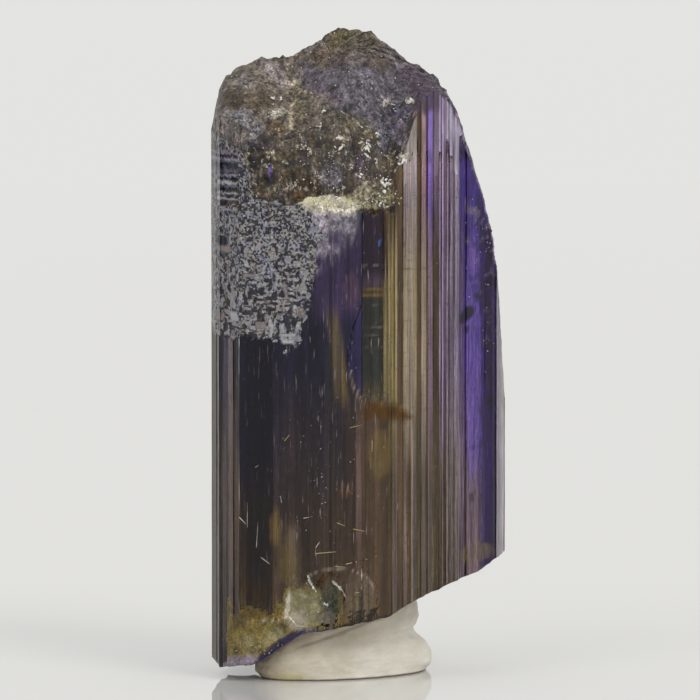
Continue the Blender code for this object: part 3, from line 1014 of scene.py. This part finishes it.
def crystal_rings():
    """The crystal's rings in millimetres, from the middle of its foot to that of its top."""
    walls = []
    for column in COLUMNS:
        low = where_it_ends(foot_height, column, 3.0)
        high = where_it_ends(top_height, column, 26.0)
        walls.append([Vector((*column.at(z), z)) for z in wall_heights(low, high)])
    walls = [list(ring) for ring in zip(*walls)]
    foot = [
        ring_towards(walls[0], FOOT_CENTRE, i / FOOT_RINGS, foot_height)
        for i in range(FOOT_RINGS, 0, -1)
    ]
    top = [
        ring_towards(walls[-1], TOP_CENTRE, i / TOP_RINGS, top_height)
        for i in range(1, TOP_RINGS + 1)
    ]
    return foot + walls + top


def putty_point(turn, z):
    """A point on the putty's side at a turn round it, from its reach at that height."""
    left, right = along(PUTTY_LEFT, z), along(PUTTY_RIGHT, z)
    reach = (right - left) / 2 * cos(turn)
    x = (left + right) / 2 + reach
    y = PUTTY_HALF_DEPTH * sin(turn) + PUTTY_SKEW * reach
    inward = 0.05 + 0.10 * abs(grain(x, y, z * 1.5, 1.3)) + 0.02 * grain(x, y, z, 0.35)
    crease = exp(-((z - 1.75 - 0.10 * x) / 0.12) ** 2)
    inward += 0.12 * crease * soft(-0.5, 1.5, x)
    fold = exp(-(((z - 1.75 - 0.33 * (x + 2.6)) / 0.10) ** 2))
    inward += 0.12 * fold * inside(x, -3.0, 1.8, 0.5)
    inward += 0.07 * abs(grain(x, y, z * 1.3, 0.7, 2.0))
    return Vector((x - inward * cos(turn), y - inward * sin(turn), z))


def under_the_foot(x, y):
    """The putty's top, which follows the crystal's foot."""
    return foot_height(x, y) - 0.02


def putty_rings():
    """The putty's rings in millimetres, from the middle of its flat base to its top."""
    turns = [tau * i / PUTTY_TURNS for i in range(PUTTY_TURNS)]
    tops = []
    for turn in turns:
        z = 1.0
        for _ in range(12):
            point = putty_point(turn, z)
            z = under_the_foot(point.x, point.y)
        tops.append(z)
    walls = [
        [putty_point(turn, z * level / PUTTY_LEVELS) for turn, z in zip(turns, tops)]
        for level in range(PUTTY_LEVELS + 1)
    ]
    middle = sum(walls[-1], Vector()) / len(turns)
    base = [
        ring_towards(walls[0], middle, i / PUTTY_BASE_RINGS, lambda x, y: 0.0)
        for i in range(PUTTY_BASE_RINGS, 0, -1)
    ]
    top = [
        ring_towards(walls[-1], middle, i / PUTTY_TOP_RINGS, under_the_foot)
        for i in range(1, PUTTY_TOP_RINGS + 1)
    ]
    return base + walls + top


def next_ring(bm, ring):
    """Extrudes a ring of vertices and returns the new ring in the same order."""
    pairs = zip(ring, ring[1:] + ring[:1])
    edges = [bm.edges.get(pair) for pair in pairs]
    made = bmesh.ops.extrude_edge_only(bm, edges=edges)["geom"]
    fresh = {item for item in made if isinstance(item, bmesh.types.BMVert)}
    return [
        next(edge.other_vert(v) for edge in v.link_edges if edge.other_vert(v) in fresh)
        for v in ring
    ]


def finished(bm, name, looks):
    """A piece of the scene made from a bmesh, which is freed, with its finishes."""
    mesh = bpy.data.meshes.new(name)
    bm.to_mesh(mesh)
    bm.free()
    for look in looks:
        mesh.materials.append(look)
    made = bpy.data.objects.new(name, mesh)
    bpy.context.scene.collection.objects.link(made)
    return made


def skinned(name, rings, looks, paint=None):
    """A closed piece through rings of points, whose first and last rings close to a point."""
    bm = bmesh.new()
    column_of = bm.verts.layers.int.new("column")
    ring = first = bmesh.ops.create_circle(bm, segments=len(rings[0]), radius=1.0)["verts"]
    for i, points in enumerate(rings):
        if i:
            ring = next_ring(bm, ring)
        for column, (vertex, point) in enumerate(zip(ring, points)):
            vertex.co = point * MM
            vertex[column_of] = column
    for end in (first, ring):
        bmesh.ops.pointmerge(bm, verts=end, merge_co=end[0].co.copy())
    bmesh.ops.recalc_face_normals(bm, faces=bm.faces)
    if bm.calc_volume(signed=True) < 0:
        bmesh.ops.reverse_faces(bm, faces=bm.faces)
    for face in bm.faces:
        face.smooth = True
    if paint:
        paint(bm)
    bm.verts.layers.int.remove(bm.verts.layers.int["column"])
    return finished(bm, name, looks)


# The crystal's finishes, in the order of its materials.
CLEAR, DULL = range(2)


def paint_crystal(bm):
    """Gives each face its finish, and each of its corners a tint and marks."""
    tints = bm.loops.layers.float_color.new("tint")
    marks = bm.loops.layers.float_color.new("marks")
    column_of = bm.verts.layers.int["column"]
    bm.normal_update()
    bm.verts.index_update()
    seen = []
    for vertex in bm.verts:
        seen.append(crystal_paint(*vertex.co / MM, vertex.normal, COLUMNS[vertex[column_of]].rib))
    for face in bm.faces:
        dull = sum(seen[vertex.index][1] for vertex in face.verts) / len(face.verts)
        face.material_index = DULL if dull > 0.5 else CLEAR
        broken = min(seen[vertex.index][2][2] for vertex in face.verts)
        face.smooth = broken > 0.35
        for corner in face.loops:
            tint, _, mark = seen[corner.vert.index]
            if dull <= 0.5:
                tint = (min((light / most) ** 2, 1.0) for light, most in zip(tint, CLEAR_LIGHT))
            corner[tints] = (*tint, 1.0)
            corner[marks] = mark


class Recipe:
    """A material built up node by node on its shader."""

    def __init__(self, name, roughness):
        self.material = bpy.data.materials.new(name)
        self.material.use_nodes = True
        self.tree = self.material.node_tree
        self.shader = self.tree.nodes["Principled BSDF"]
        self.shader.inputs["Roughness"].default_value = roughness
        place = self.tree.nodes.new("ShaderNodeTexCoord").outputs["Object"]
        in_mm = self.tree.nodes.new("ShaderNodeVectorMath")
        in_mm.operation = "SCALE"
        in_mm.inputs["Scale"].default_value = 1 / MM
        self.tree.links.new(place, in_mm.inputs[0])
        self.place = in_mm.outputs[0]
        apart = self.tree.nodes.new("ShaderNodeSeparateXYZ")
        self.tree.links.new(self.place, apart.inputs[0])
        self.x, self.y, self.z = apart.outputs

    def add(self, kind, *sockets, **settings):
        """A new node; sockets are (number or name, value or another node's output)."""
        node = self.tree.nodes.new("ShaderNode" + kind)
        for name, value in settings.items():
            setattr(node, name, value)
        for socket, value in sockets:
            if isinstance(value, bpy.types.NodeSocket):
                self.tree.links.new(value, node.inputs[socket])
            else:
                node.inputs[socket].default_value = value
        return node

    def ramp(self, at, stops):
        """A colour along (position, colour) stops, where at runs from 0 to 1."""
        node = self.add("ValToRGB", (0, at))
        band = node.color_ramp
        for _ in stops[2:]:
            band.elements.new(0.5)
        for element, (position, colour) in zip(band.elements, stops):
            element.position = position
            element.color = (*colour, 1.0)
        return node.outputs["Color"]

    def mapped(self, value, low, high, to_low=0.0, to_high=1.0):
        """A value moved from one range to another and held inside it."""
        sockets = ((0, value), (1, low), (2, high), (3, to_low), (4, to_high))
        return self.add("MapRange", *sockets).outputs[0]

    def math(self, operation, *values):
        """The result of one sum."""
        return self.add("Math", *enumerate(values), operation=operation).outputs[0]

    def times(self, first, second):
        """Two values multiplied."""
        return self.math("MULTIPLY", first, second)

    def mixed(self, part, first, second, blend="MIX"):
        """Two colours mixed."""
        sockets = ((0, part), (6, first), (7, second))
        return self.add("Mix", *sockets, data_type="RGBA", blend_type=blend).outputs[2]

    def mottle(self, stretch, detail=2.0, roughness=0.5, shift=(0.0, 0.0, 0.0)):
        """Noise from 0 to 1, with so many lumps to the millimetre each way."""
        moved = self.add(
            "Mapping", (0, self.place), ("Scale", stretch), ("Location", shift)
        ).outputs[0]
        sockets = ((0, moved), ("Scale", 1.0), ("Detail", detail), ("Roughness", roughness))
        return self.add("TexNoise", *sockets).outputs[0]

    def between(self, first, second, part):
        """A number between two others."""
        return self.add("Mix", (0, part), (2, first), (3, second)).outputs[0]

    def scaled(self, colour, times):
        """A colour made lighter or darker."""
        sockets = ((0, colour), ("Scale", times))
        return self.add("VectorMath", *sockets, operation="SCALE").outputs[0]

    def cells(self, at, stretch, metric="CHEBYCHEV"):
        """Cells of a pattern: each one's own number from 0 to 1, and the way to its middle."""
        place = self.add("VectorMath", (0, at), (1, stretch), operation="MULTIPLY").outputs[0]
        sockets = ((0, place), ("Scale", 1.0), ("Randomness", 0.85))
        made = self.add("TexVoronoi", *sockets, distance=metric)
        return self.add("SeparateXYZ", (0, made.outputs["Color"])).outputs[0], made.outputs[0]

    def bent(self, to_the_mm, far):
        """The place, shifted to and fro by noise, so that a pattern on it isn't straight."""
        swing = self.add("TexNoise", (0, self.place), ("Scale", to_the_mm)).outputs[1]
        sockets = ((0, self.place), (1, self.scaled(swing, far)))
        return self.add("VectorMath", *sockets, operation="ADD").outputs[0]

    def blocks(self):
        """Etched blocks, upright or level by turns and large low down, from 0 to 1."""
        place = self.bent(1.2, 0.3)
        upright, upright_gap = self.cells(place, (5.6, 5.6, 2.5))
        level, level_gap = self.cells(place, (3.4, 3.4, 7.5))
        small, _ = self.cells(place, (11.0, 11.0, 10.0))
        turned = self.mapped(self.mottle((1.1, 1.1, 1.3), 2.0), 0.50, 0.53)
        height = self.between(upright, level, turned)
        gap = self.mapped(self.between(upright_gap, level_gap, turned), 0.36, 0.55, 1.0, 0.72)
        height = self.times(height, gap)
        return self.between(height, small, self.mapped(self.z, 16.5, 20.5, 0.12, 0.62))

    def dots(self, to_the_mm, size_mm, rare):
        """Round specks, 1 in the middle of each, of which only some are there."""
        own, away = self.cells(self.place, (to_the_mm,) * 3, "EUCLIDEAN")
        size = size_mm * to_the_mm
        dot = self.mapped(away, 0.5 * size, size, 1.0, 0.0)
        return self.times(dot, self.mapped(own, rare, rare + 0.02))

    def colour(self, value):
        """Takes a colour to the shader."""
        self.tree.links.new(value, self.shader.inputs["Base Color"])

    def rough(self, value):
        """Takes a roughness to the shader."""
        self.tree.links.new(value, self.shader.inputs["Roughness"])

    def bump(self, height, distance_mm):
        """Fine relief from a height between 0 and 1."""
        node = self.add("Bump", ("Height", height), ("Distance", distance_mm * MM))
        self.tree.links.new(node.outputs[0], self.shader.inputs["Normal"])


# How the stone bends light, the colour and the strength of its absorption, and how much red,
# green and blue light comes through it where its tint is white.
STONE_IOR = 1.694
STONE_COLOUR, STONE_DENSITY = (0.60, 0.48, 0.72, 1.0), 120.0
CLEAR_LIGHT = (0.56, 0.52, 0.60)
# Fine marks: scratches in the clear stone, and flecks and specks on the broken one, whose pale
# flecks are painted glints of small facets.
SCRATCH_COLOUR = (0.30, 0.24, 0.18, 1.0)
FLECK_GLINT_COLOUR, SPECK_COLOUR = (0.50, 0.45, 0.36, 1.0), (0.50, 0.47, 0.42, 1.0)
# The etched blocks, from the bottom of the pits to the flat tops, whose pale grey is a painted
# reflection of facets catching the light, and the hues of the patch.
BLOCK_REFLECTION_STOPS = (
    (0.00, (0.020, 0.018, 0.025)),
    (0.38, (0.028, 0.026, 0.034)),
    (0.45, (0.100, 0.090, 0.095)),
    (0.52, (0.240, 0.235, 0.235)),
    (1.00, (0.330, 0.330, 0.345)),
)
HUE_STOPS = ((0.35, (0.90, 0.92, 1.10)), (0.52, (1.0, 1.0, 1.0)), (0.66, (1.0, 0.93, 0.90)))


def tanzanite_look():
    """Clear tanzanite, tinted by its zones, with fine lines along its length."""
    recipe = Recipe("tanzanite", 0.05)
    recipe.shader.inputs["Transmission Weight"].default_value = 1.0
    recipe.shader.inputs["IOR"].default_value = STONE_IOR
    recipe.shader.inputs["Specular Tint"].default_value = (0.35, 0.35, 0.38, 1.0)
    depths = recipe.add("VolumeAbsorption", ("Color", STONE_COLOUR), ("Density", STONE_DENSITY))
    output = recipe.tree.nodes["Material Output"]
    recipe.tree.links.new(depths.outputs["Volume"], output.inputs["Volume"])
    tint = recipe.add("Attribute", attribute_name="tint").outputs["Color"]
    marks = recipe.add("Attribute", attribute_name="marks").outputs["Vector"]
    streaky, _, broken = recipe.add("SeparateXYZ", (0, marks)).outputs
    streaks = recipe.mapped(recipe.mottle((6.0, 6.0, 0.12), 3.0), 0.30, 0.70, 0.45, 1.7)
    fine = recipe.mapped(recipe.mottle((16.0, 16.0, 0.4), 2.0), 0.35, 0.65, 0.65, 1.5)
    tint = recipe.scaled(tint, recipe.times(streaks, fine))
    ticks = recipe.mottle((3.0, 3.0, 17.0), 1.0, shift=(5.0, 0.0, 0.0))
    tint = recipe.scaled(tint, recipe.mapped(ticks, 0.62, 0.68, 1.0, 0.45))
    scratch = recipe.mottle((17.0, 17.0, 0.9), 1.0, shift=(0.0, 4.0, 0.0))
    scratch = recipe.mapped(scratch, 0.67, 0.75)
    here = recipe.mapped(recipe.mottle((1.2, 1.2, 1.2), 1.0), 0.42, 0.60)
    scratch = recipe.times(scratch, here)
    light = recipe.math("MAXIMUM", scratch, recipe.dots(3.2, 0.035, 0.72))
    light = recipe.times(light, recipe.times(streaky, 0.75))
    recipe.colour(recipe.mixed(light, tint, SCRATCH_COLOUR))
    smears = recipe.mapped(recipe.mottle((3.0, 3.0, 1.0), 4.0), 0.3, 0.8, 0.02, 0.14)
    recipe.rough(recipe.between(smears, 0.45, broken))
    lines = recipe.mottle((14.0, 14.0, 0.25), 2.0)
    recipe.bump(recipe.between(lines, recipe.mottle((6.0, 6.0, 6.0), 4.0, 0.65), broken), 0.02)
    return recipe.material


def dull_look():
    """Tanzanite where its surface is etched into small blocks, frosted or broken."""
    recipe = Recipe("dull_tanzanite", 0.45)
    recipe.shader.inputs["IOR"].default_value = STONE_IOR
    recipe.shader.inputs["Specular IOR Level"].default_value = 0.2
    tint = recipe.add("Attribute", attribute_name="tint").outputs["Color"]
    attribute = recipe.add("Attribute", attribute_name="marks")
    streaky, etched, broken = recipe.add("SeparateXYZ", (0, attribute.outputs["Vector"])).outputs
    fine = recipe.mottle((9.0, 9.0, 9.0), 4.0, 0.65)
    broad = recipe.mottle((1.4, 1.4, 1.4), 3.0, 0.6)
    lumps = recipe.mottle((3.2, 3.2, 2.6), 4.0, 0.6, shift=(2.0, 0.0, 0.0))
    grains = recipe.mapped(fine, 0.34, 0.68, 0.4, 1.8)
    grains = recipe.times(grains, recipe.mapped(broad, 0.3, 0.7, 0.6, 1.4))
    grains = recipe.times(grains, recipe.mapped(lumps, 0.36, 0.64, 0.45, 1.6))
    streaks = recipe.mapped(recipe.mottle((8.0, 8.0, 0.9), 3.0), 0.32, 0.68, 0.45, 1.7)
    specks = recipe.between(1.0, grains, broken)
    specks = recipe.times(specks, recipe.between(1.0, streaks, streaky))
    tint = recipe.scaled(tint, specks)
    bent = recipe.bent(5.0, 0.35)
    flecks, _ = recipe.cells(bent, (7.5, 7.5, 5.0))
    dark = recipe.between(1.0, recipe.mapped(flecks, 0.14, 0.20, 0.4, 1.0), broken)
    tint = recipe.scaled(tint, dark)
    # painted glints: pale flecks on the broken stone, for small facets catching the light
    there = recipe.mapped(recipe.mottle((1.3, 1.3, 1.3), 2.0, shift=(9.0, 0.0, 0.0)), 0.44, 0.56)
    there = recipe.times(there, recipe.mapped(fine, 0.40, 0.62, 0.1, 1.0))
    light = recipe.times(recipe.mapped(flecks, 0.84, 0.88), there)
    light = recipe.times(light, recipe.times(broken, streaky))
    tint = recipe.mixed(light, tint, FLECK_GLINT_COLOUR)
    dots = recipe.times(recipe.dots(4.5, 0.045, 0.84), broken)
    tint = recipe.mixed(dots, tint, SPECK_COLOUR)
    blocks = recipe.blocks()
    # painted reflection: the etched blocks' flat tops are pale grey, for facets catching the light
    patch = recipe.scaled(recipe.ramp(blocks, BLOCK_REFLECTION_STOPS), recipe.mapped(fine, 0.3, 0.7, 0.6, 1.4))
    hue = recipe.ramp(recipe.mottle((1.7, 1.7, 1.7), 3.0, shift=(0.0, 0.0, 7.0)), HUE_STOPS)
    patch = recipe.mixed(1.0, patch, hue, "MULTIPLY")
    part = recipe.mapped(etched, 0.3, 0.6)
    recipe.colour(recipe.mixed(part, tint, patch))
    recipe.rough(attribute.outputs["Alpha"])
    recipe.bump(recipe.between(recipe.between(fine, lumps, 0.6), blocks, part), 0.08)
    return recipe.material


# The putty's paler tones; its browner tones, painted as the shade and brown reflection of the
# crystal above it; the yellowish patch, painted as light that comes through the crystal's foot;
# the specks; and the dark line painted as shade where it meets the table.
PUTTY_PALE = ((0.3, (0.66, 0.62, 0.52)), (0.7, (0.78, 0.75, 0.66)))
PUTTY_PAINTED_SHADE = ((0.3, (0.40, 0.33, 0.23)), (0.7, (0.54, 0.46, 0.34)))
PUTTY_PAINTED_LIGHT = (0.45, 0.40, 0.16, 1.0)
PUTTY_SPECK, PUTTY_CONTACT_SHADE = (0.18, 0.15, 0.11, 1.0), (0.10, 0.06, 0.045, 1.0)


def putty_look():
    """Off-white putty, with painted brown shade under the crystal at the left, a painted patch of
    olive light, a painted dark line of shade at its foot, and soft scuffs and specks.
    """
    recipe = Recipe("putty", 0.55)
    tone = recipe.mottle((0.7, 0.7, 1.2), 4.0, 0.6)
    pale = recipe.ramp(tone, PUTTY_PALE)
    brown = recipe.ramp(tone, PUTTY_PAINTED_SHADE)
    # painted shade: the putty turns browner to the left and up under the crystal, for its shade and
    # brown reflection
    across = recipe.math("ADD", recipe.x, recipe.times(tone, 2.0))
    across = recipe.math("SUBTRACT", across, recipe.times(recipe.z, 1.1))
    colour = recipe.mixed(recipe.mapped(across, -4.3, 1.1), brown, pale)
    # painted light: a yellowish patch low at the left, for olive light coming through the crystal's
    # foot
    near = recipe.times(recipe.mapped(recipe.z, 0.15, 0.5, 1.0, 0.0), 0.7)
    near = recipe.times(near, recipe.mapped(recipe.x, -4.4, -3.6))
    near = recipe.times(near, recipe.mapped(recipe.x, -2.9, -2.2, 1.0, 0.0))
    colour = recipe.mixed(near, colour, PUTTY_PAINTED_LIGHT)
    colour = recipe.mixed(recipe.dots(1.6, 0.045, 0.85), colour, PUTTY_SPECK)
    # painted shade: a dark line where the putty meets the table
    contact_shade = recipe.mapped(recipe.z, 0.05, 0.11, 0.9, 0.0)
    recipe.colour(recipe.mixed(contact_shade, colour, PUTTY_CONTACT_SHADE))
    recipe.bump(recipe.mottle((1.6, 1.6, 3.4), 5.0, 0.6), 0.06)
    return recipe.material


def crust_look(name, first, second):
    """Crumbs, needles and painted glints on the crystal, in a mottle of two colours."""
    recipe = Recipe(name, 0.35)
    tone = recipe.mottle((3.5, 3.5, 3.5), 3.0)
    recipe.colour(recipe.ramp(tone, ((0.38, first), (0.60, second))))
    return recipe.material


def soft_sun(name, way, strength, spread):
    """An even soft light from far away, shining along a way."""
    lamp = bpy.data.lights.new(name, "SUN")
    lamp.energy, lamp.angle = strength, radians(spread)
    lit = bpy.data.objects.new(name, lamp)
    lit.rotation_euler = Vector(way).to_track_quat("-Z", "Y").to_euler()
    bpy.context.scene.collection.objects.link(lit)


def table_and_light():
    """A wide pale glossy table in an even pale studio, with soft light from above."""
    recipe = Recipe("pale_table", 0.03)
    recipe.shader.inputs["Base Color"].default_value = TABLE_COLOUR
    bm = bmesh.new()
    bmesh.ops.create_circle(bm, segments=96, radius=TABLE_RADIUS, cap_ends=True)
    table = finished(bm, "table", (recipe.material,))
    world = bpy.data.worlds.new("studio")
    world.use_nodes = True
    studio = world.node_tree.nodes["Background"].inputs
    studio["Color"].default_value = STUDIO_COLOUR
    studio["Strength"].default_value = STUDIO_LIGHT
    bpy.context.scene.world = world
    soft_sun("soft_light_from_the_right", (-0.55, 0.60, -0.70), 1.1, 25)
    soft_sun("soft_light_from_the_left", (0.55, 0.60, -0.75), 0.45, 30)


def camera():
    """The camera, almost level with the table and far enough for hardly any perspective."""
    made = bpy.data.cameras.new("camera")
    frame_width = FRAME_PX / PX_PER_MM * MM
    made.sensor_width = SENSOR_WIDTH
    made.lens = made.sensor_width * CAMERA_AWAY / frame_width
    made.clip_start, made.clip_end = 0.01, 10.0
    shot = bpy.data.objects.new("camera", made)
    aim_x = (FRAME_PX / 2 - AXIS_PX) / PX_PER_MM * MM
    aim_z = (TABLE_PX - FRAME_PX / 2) / PX_PER_MM * MM / cos(CAMERA_TILT)
    back = Vector((0.0, -cos(CAMERA_TILT), sin(CAMERA_TILT)))
    aim = Vector((aim_x, 0.0, aim_z))
    shot.location = aim + back * CAMERA_AWAY
    shot.rotation_euler = (-back).to_track_quat("-Z", "Y").to_euler()
    bpy.context.scene.collection.objects.link(shot)
    bpy.context.scene.camera = shot


# White crumbs on the front, some of them real white crust and some, such as the star on the
# slope and the groups in the violet window, painted glints: the x and z of the middle of a
# group, how far it spreads, how many there are and how large, in millimetres.
WHITE_CRUMBS_AND_PAINTED_GLINTS = (
    (-1.40, 22.85, 1.00, 0.20, 26, 0.060),
    (1.20, 23.60, 0.90, 0.90, 34, 0.050),
    (0.60, 22.80, 1.00, 0.22, 26, 0.060),
    # painted glint: a star of bright crumbs on the slope
    (1.30, 27.33, 0.16, 0.16, 14, 0.090),
    (2.55, 27.42, 0.34, 0.12, 16, 0.095),
    (2.17, 24.90, 0.16, 0.25, 14, 0.075),
    (-4.02, 27.52, 0.06, 0.08, 3, 0.080),
    (-3.69, 27.52, 0.06, 0.08, 3, 0.070),
    (-3.83, 26.90, 0.26, 0.14, 9, 0.090),
    (-3.85, 26.15, 0.14, 0.06, 4, 0.060),
    (-4.35, 26.70, 0.06, 0.14, 3, 0.060),
    (-1.64, 27.00, 0.12, 0.05, 4, 0.060),
    (-1.83, 26.30, 0.12, 0.14, 6, 0.070),
    (-0.95, 25.75, 0.26, 0.16, 8, 0.085),
    (-0.78, 25.35, 0.12, 0.14, 5, 0.080),
    (0.93, 25.95, 0.12, 0.12, 4, 0.060),
    (0.40, 25.30, 0.20, 0.36, 16, 0.085),
    (0.02, 24.10, 0.12, 0.10, 4, 0.070),
    (1.26, 23.70, 0.24, 0.36, 16, 0.085),
    (2.03, 25.00, 0.30, 0.18, 12, 0.090),
    (-0.50, 27.50, 3.60, 1.70, 46, 0.024),
    (-1.20, 24.50, 2.60, 1.20, 60, 0.036),
    (-3.50, 15.75, 0.30, 0.08, 5, 0.040),
    (-1.62, 3.72, 0.14, 0.10, 4, 0.040),
    (-2.30, 3.20, 0.90, 0.60, 14, 0.022),
    (-2.00, 10.00, 3.00, 3.50, 34, 0.016),
    (-1.70, 9.30, 0.12, 1.20, 12, 0.020),
    # painted glints in the violet window
    (5.80, 20.30, 0.70, 2.60, 26, 0.022),
    (6.10, 16.20, 0.25, 1.40, 10, 0.022),
)
YELLOW_CRUMBS = (
    (-4.60, 1.60, 0.90, 0.30, 24, 0.030),
    (-5.00, 2.30, 1.00, 0.60, 22, 0.026),
    (-0.10, 4.30, 0.40, 0.25, 10, 0.028),
    (-2.30, 4.70, 0.25, 0.60, 10, 0.022),
    (1.60, 23.10, 0.60, 0.30, 16, 0.036),
)

# Thin fibres and scratches on the front: x and z of both ends, and half the width.
WHITE_FIBRES = (
    (-4.88, 10.24, -4.50, 10.48, 0.020),
    (-4.83, 6.43, -4.74, 7.86, 0.016),
    (-5.26, 7.38, -5.26, 8.57, 0.014),
    (-5.64, 7.86, -5.31, 7.52, 0.018),
    (-4.60, 5.95, -4.21, 5.67, 0.020),
    (-2.02, 6.48, -1.83, 6.76, 0.022),
    (-2.60, 7.86, -2.17, 7.95, 0.014),
    (-3.69, 8.90, -3.64, 8.57, 0.018),
    (-1.17, 11.62, -1.12, 11.05, 0.014),
    (0.64, 11.57, 0.64, 11.05, 0.014),
)
# Painted glints on the chips and on the slope, made as short bars of white grains: x and z of
# both ends and half the width in the middle.
GLINTS = (
    (-2.40, 5.12, -2.20, 4.66, 0.085),
    (-2.24, 4.74, -1.98, 4.28, 0.060),
    (-2.00, 4.34, -1.68, 3.82, 0.045),
    (-1.70, 3.86, -1.50, 3.66, 0.060),
    (-1.24, 4.86, -0.96, 4.62, 0.080),
    (-1.00, 4.68, -0.70, 4.36, 0.085),
    (-0.72, 4.38, -0.60, 4.12, 0.045),
    (-3.42, 4.05, -3.34, 3.35, 0.040),
    (-3.34, 3.20, -2.95, 2.75, 0.045),
    (-2.95, 2.72, -2.35, 2.66, 0.040),
    (0.95, 27.82, 1.25, 27.42, 0.030),
    (1.05, 27.22, 1.30, 27.33, 0.035),
    (1.30, 27.33, 1.85, 27.20, 0.035),
    (1.36, 26.86, 2.00, 27.26, 0.024),
    (2.05, 27.16, 2.50, 26.60, 0.026),
    (-0.90, 27.02, -0.55, 26.76, 0.030),
    (-0.15, 26.50, 0.35, 26.10, 0.034),
)
YELLOW_NEEDLES = (
    (-0.40, 12.19, 0.17, 12.33, 0.024),
    (-1.02, 7.67, -0.64, 7.52, 0.022),
    (-0.26, 7.38, 0.26, 7.29, 0.030),
    (-2.02, 6.19, -1.07, 6.29, 0.030),
    (-0.60, 5.71, 0.40, 5.95, 0.026),
    (-3.50, 11.52, -3.26, 11.81, 0.028),
    (-1.12, 5.60, -0.64, 5.57, 0.028),
)


def front_at(x, z):
    """How far forward the crystal's surface lies at a place seen from the front."""
    near = along(sorted((corner[0], corner[1]) for corner in PRISM_FACES[:8]), x)
    near += 0.02 + rim_depth(x, z) + panel_depth(x, z) + chips_depth(x, z)
    far = RIDGE_Y
    if top_height(x, near) > z:
        return near
    for _ in range(12):
        middle = (near + far) / 2
        if top_height(x, middle) < z:
            near = middle
        else:
            far = middle
    return far


# How far crumbs keep from the sides, and how close the grains of a glint lie.
CRUMB_MARGIN, GLINT_STEP = 0.2, 0.04


def crumbs_and_fibres(name, look, crumbs, glints, fibres, seed):
    """One piece of small angular crumbs, rows of grains that are painted glints, and thin tapering
    fibres, all sitting on the front.
    """
    pick = random.Random(seed)
    bm = bmesh.new()
    for at_x, at_z, wide, tall, count, size in crumbs:
        for _ in range(count):
            x, z = pick.gauss(at_x, wide / 2), pick.gauss(at_z, tall / 2)
            x = min(x, right_limit(FRONT_Y, z) - CRUMB_MARGIN)
            x = max(x, left_limit(FRONT_Y, z) + CRUMB_MARGIN)
            middle = Vector((x, front_at(x, z), z))
            half = size * pick.uniform(0.5, 1.3)
            turn = Matrix.Rotation(pick.uniform(0.0, tau), 3, "Y")
            long, flat = pick.uniform(0.8, 2.0), pick.uniform(0.4, 1.0)
            for vertex in bmesh.ops.create_icosphere(bm, subdivisions=1, radius=half)["verts"]:
                vertex.co *= pick.uniform(0.6, 1.2)
                vertex.co.x *= long
                vertex.co.z *= flat
                vertex.co = turn @ vertex.co + middle
    # painted glints: rows of small white grains standing in for highlights
    for x, z, end_x, end_z, half in glints:
        count = round(hypot(end_x - x, end_z - z) / GLINT_STEP)
        for i in range(count + 1):
            part = i / count
            here_x, here_z = x + (end_x - x) * part, z + (end_z - z) * part
            middle = Vector((here_x, front_at(here_x, here_z), here_z))
            size = half * (0.35 + 0.65 * sin(0.5 * tau * part)) * pick.uniform(0.55, 1.25)
            middle.x += pick.uniform(-0.5, 0.5) * half
            for vertex in bmesh.ops.create_icosphere(bm, subdivisions=1, radius=size)["verts"]:
                vertex.co.y *= 0.6
                vertex.co += middle
    for x, z, end_x, end_z, half in fibres:
        start, end = Vector((x, front_at(x, z), z)), Vector((end_x, front_at(end_x, end_z), end_z))
        way = end - start
        turned = way.to_track_quat("Z", "Y").to_matrix().to_4x4()
        turned.translation = (start + end) / 2
        bmesh.ops.create_cone(
            bm, segments=6, radius1=0.75 * half, radius2=0.3 * half, depth=way.length,
            cap_ends=True, matrix=turned,
        )
    for vertex in bm.verts:
        vertex.co.y = max(vertex.co.y, FRONT_Y + CLEARANCE)
        vertex.co.z = min(vertex.co.z, CRYSTAL_HIGH.z - CLEARANCE)
    bmesh.ops.scale(bm, vec=(MM, MM, MM), verts=bm.verts)
    bmesh.ops.recalc_face_normals(bm, faces=bm.faces)
    return finished(bm, name, (look,))


COLUMNS = prism_columns()
finishes = tanzanite_look(), dull_look()
crystal = skinned("rough_tanzanite", crystal_rings(), finishes, paint_crystal)
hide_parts("tanzanite_crystal")
putty = skinned("pinch_of_putty", putty_rings(), (putty_look(),))
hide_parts("putty_stand")
white = crust_look("white_crust_and_painted_glints", (0.34, 0.30, 0.24), (0.80, 0.79, 0.76))
yellow = crust_look("yellow_crust", (0.30, 0.25, 0.07), (0.50, 0.45, 0.22))
pale_bits_and_glints = crumbs_and_fibres("white_crumbs_and_painted_glints", white, WHITE_CRUMBS_AND_PAINTED_GLINTS, GLINTS, WHITE_FIBRES, 5)
yellow_bits = crumbs_and_fibres("yellow_needles", yellow, YELLOW_CRUMBS, (), YELLOW_NEEDLES, 8)
for piece in (crystal, putty, pale_bits_and_glints, yellow_bits):
    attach(piece, "root")
table_and_light()
camera()
bpy.context.scene.view_settings.view_transform = "Standard"
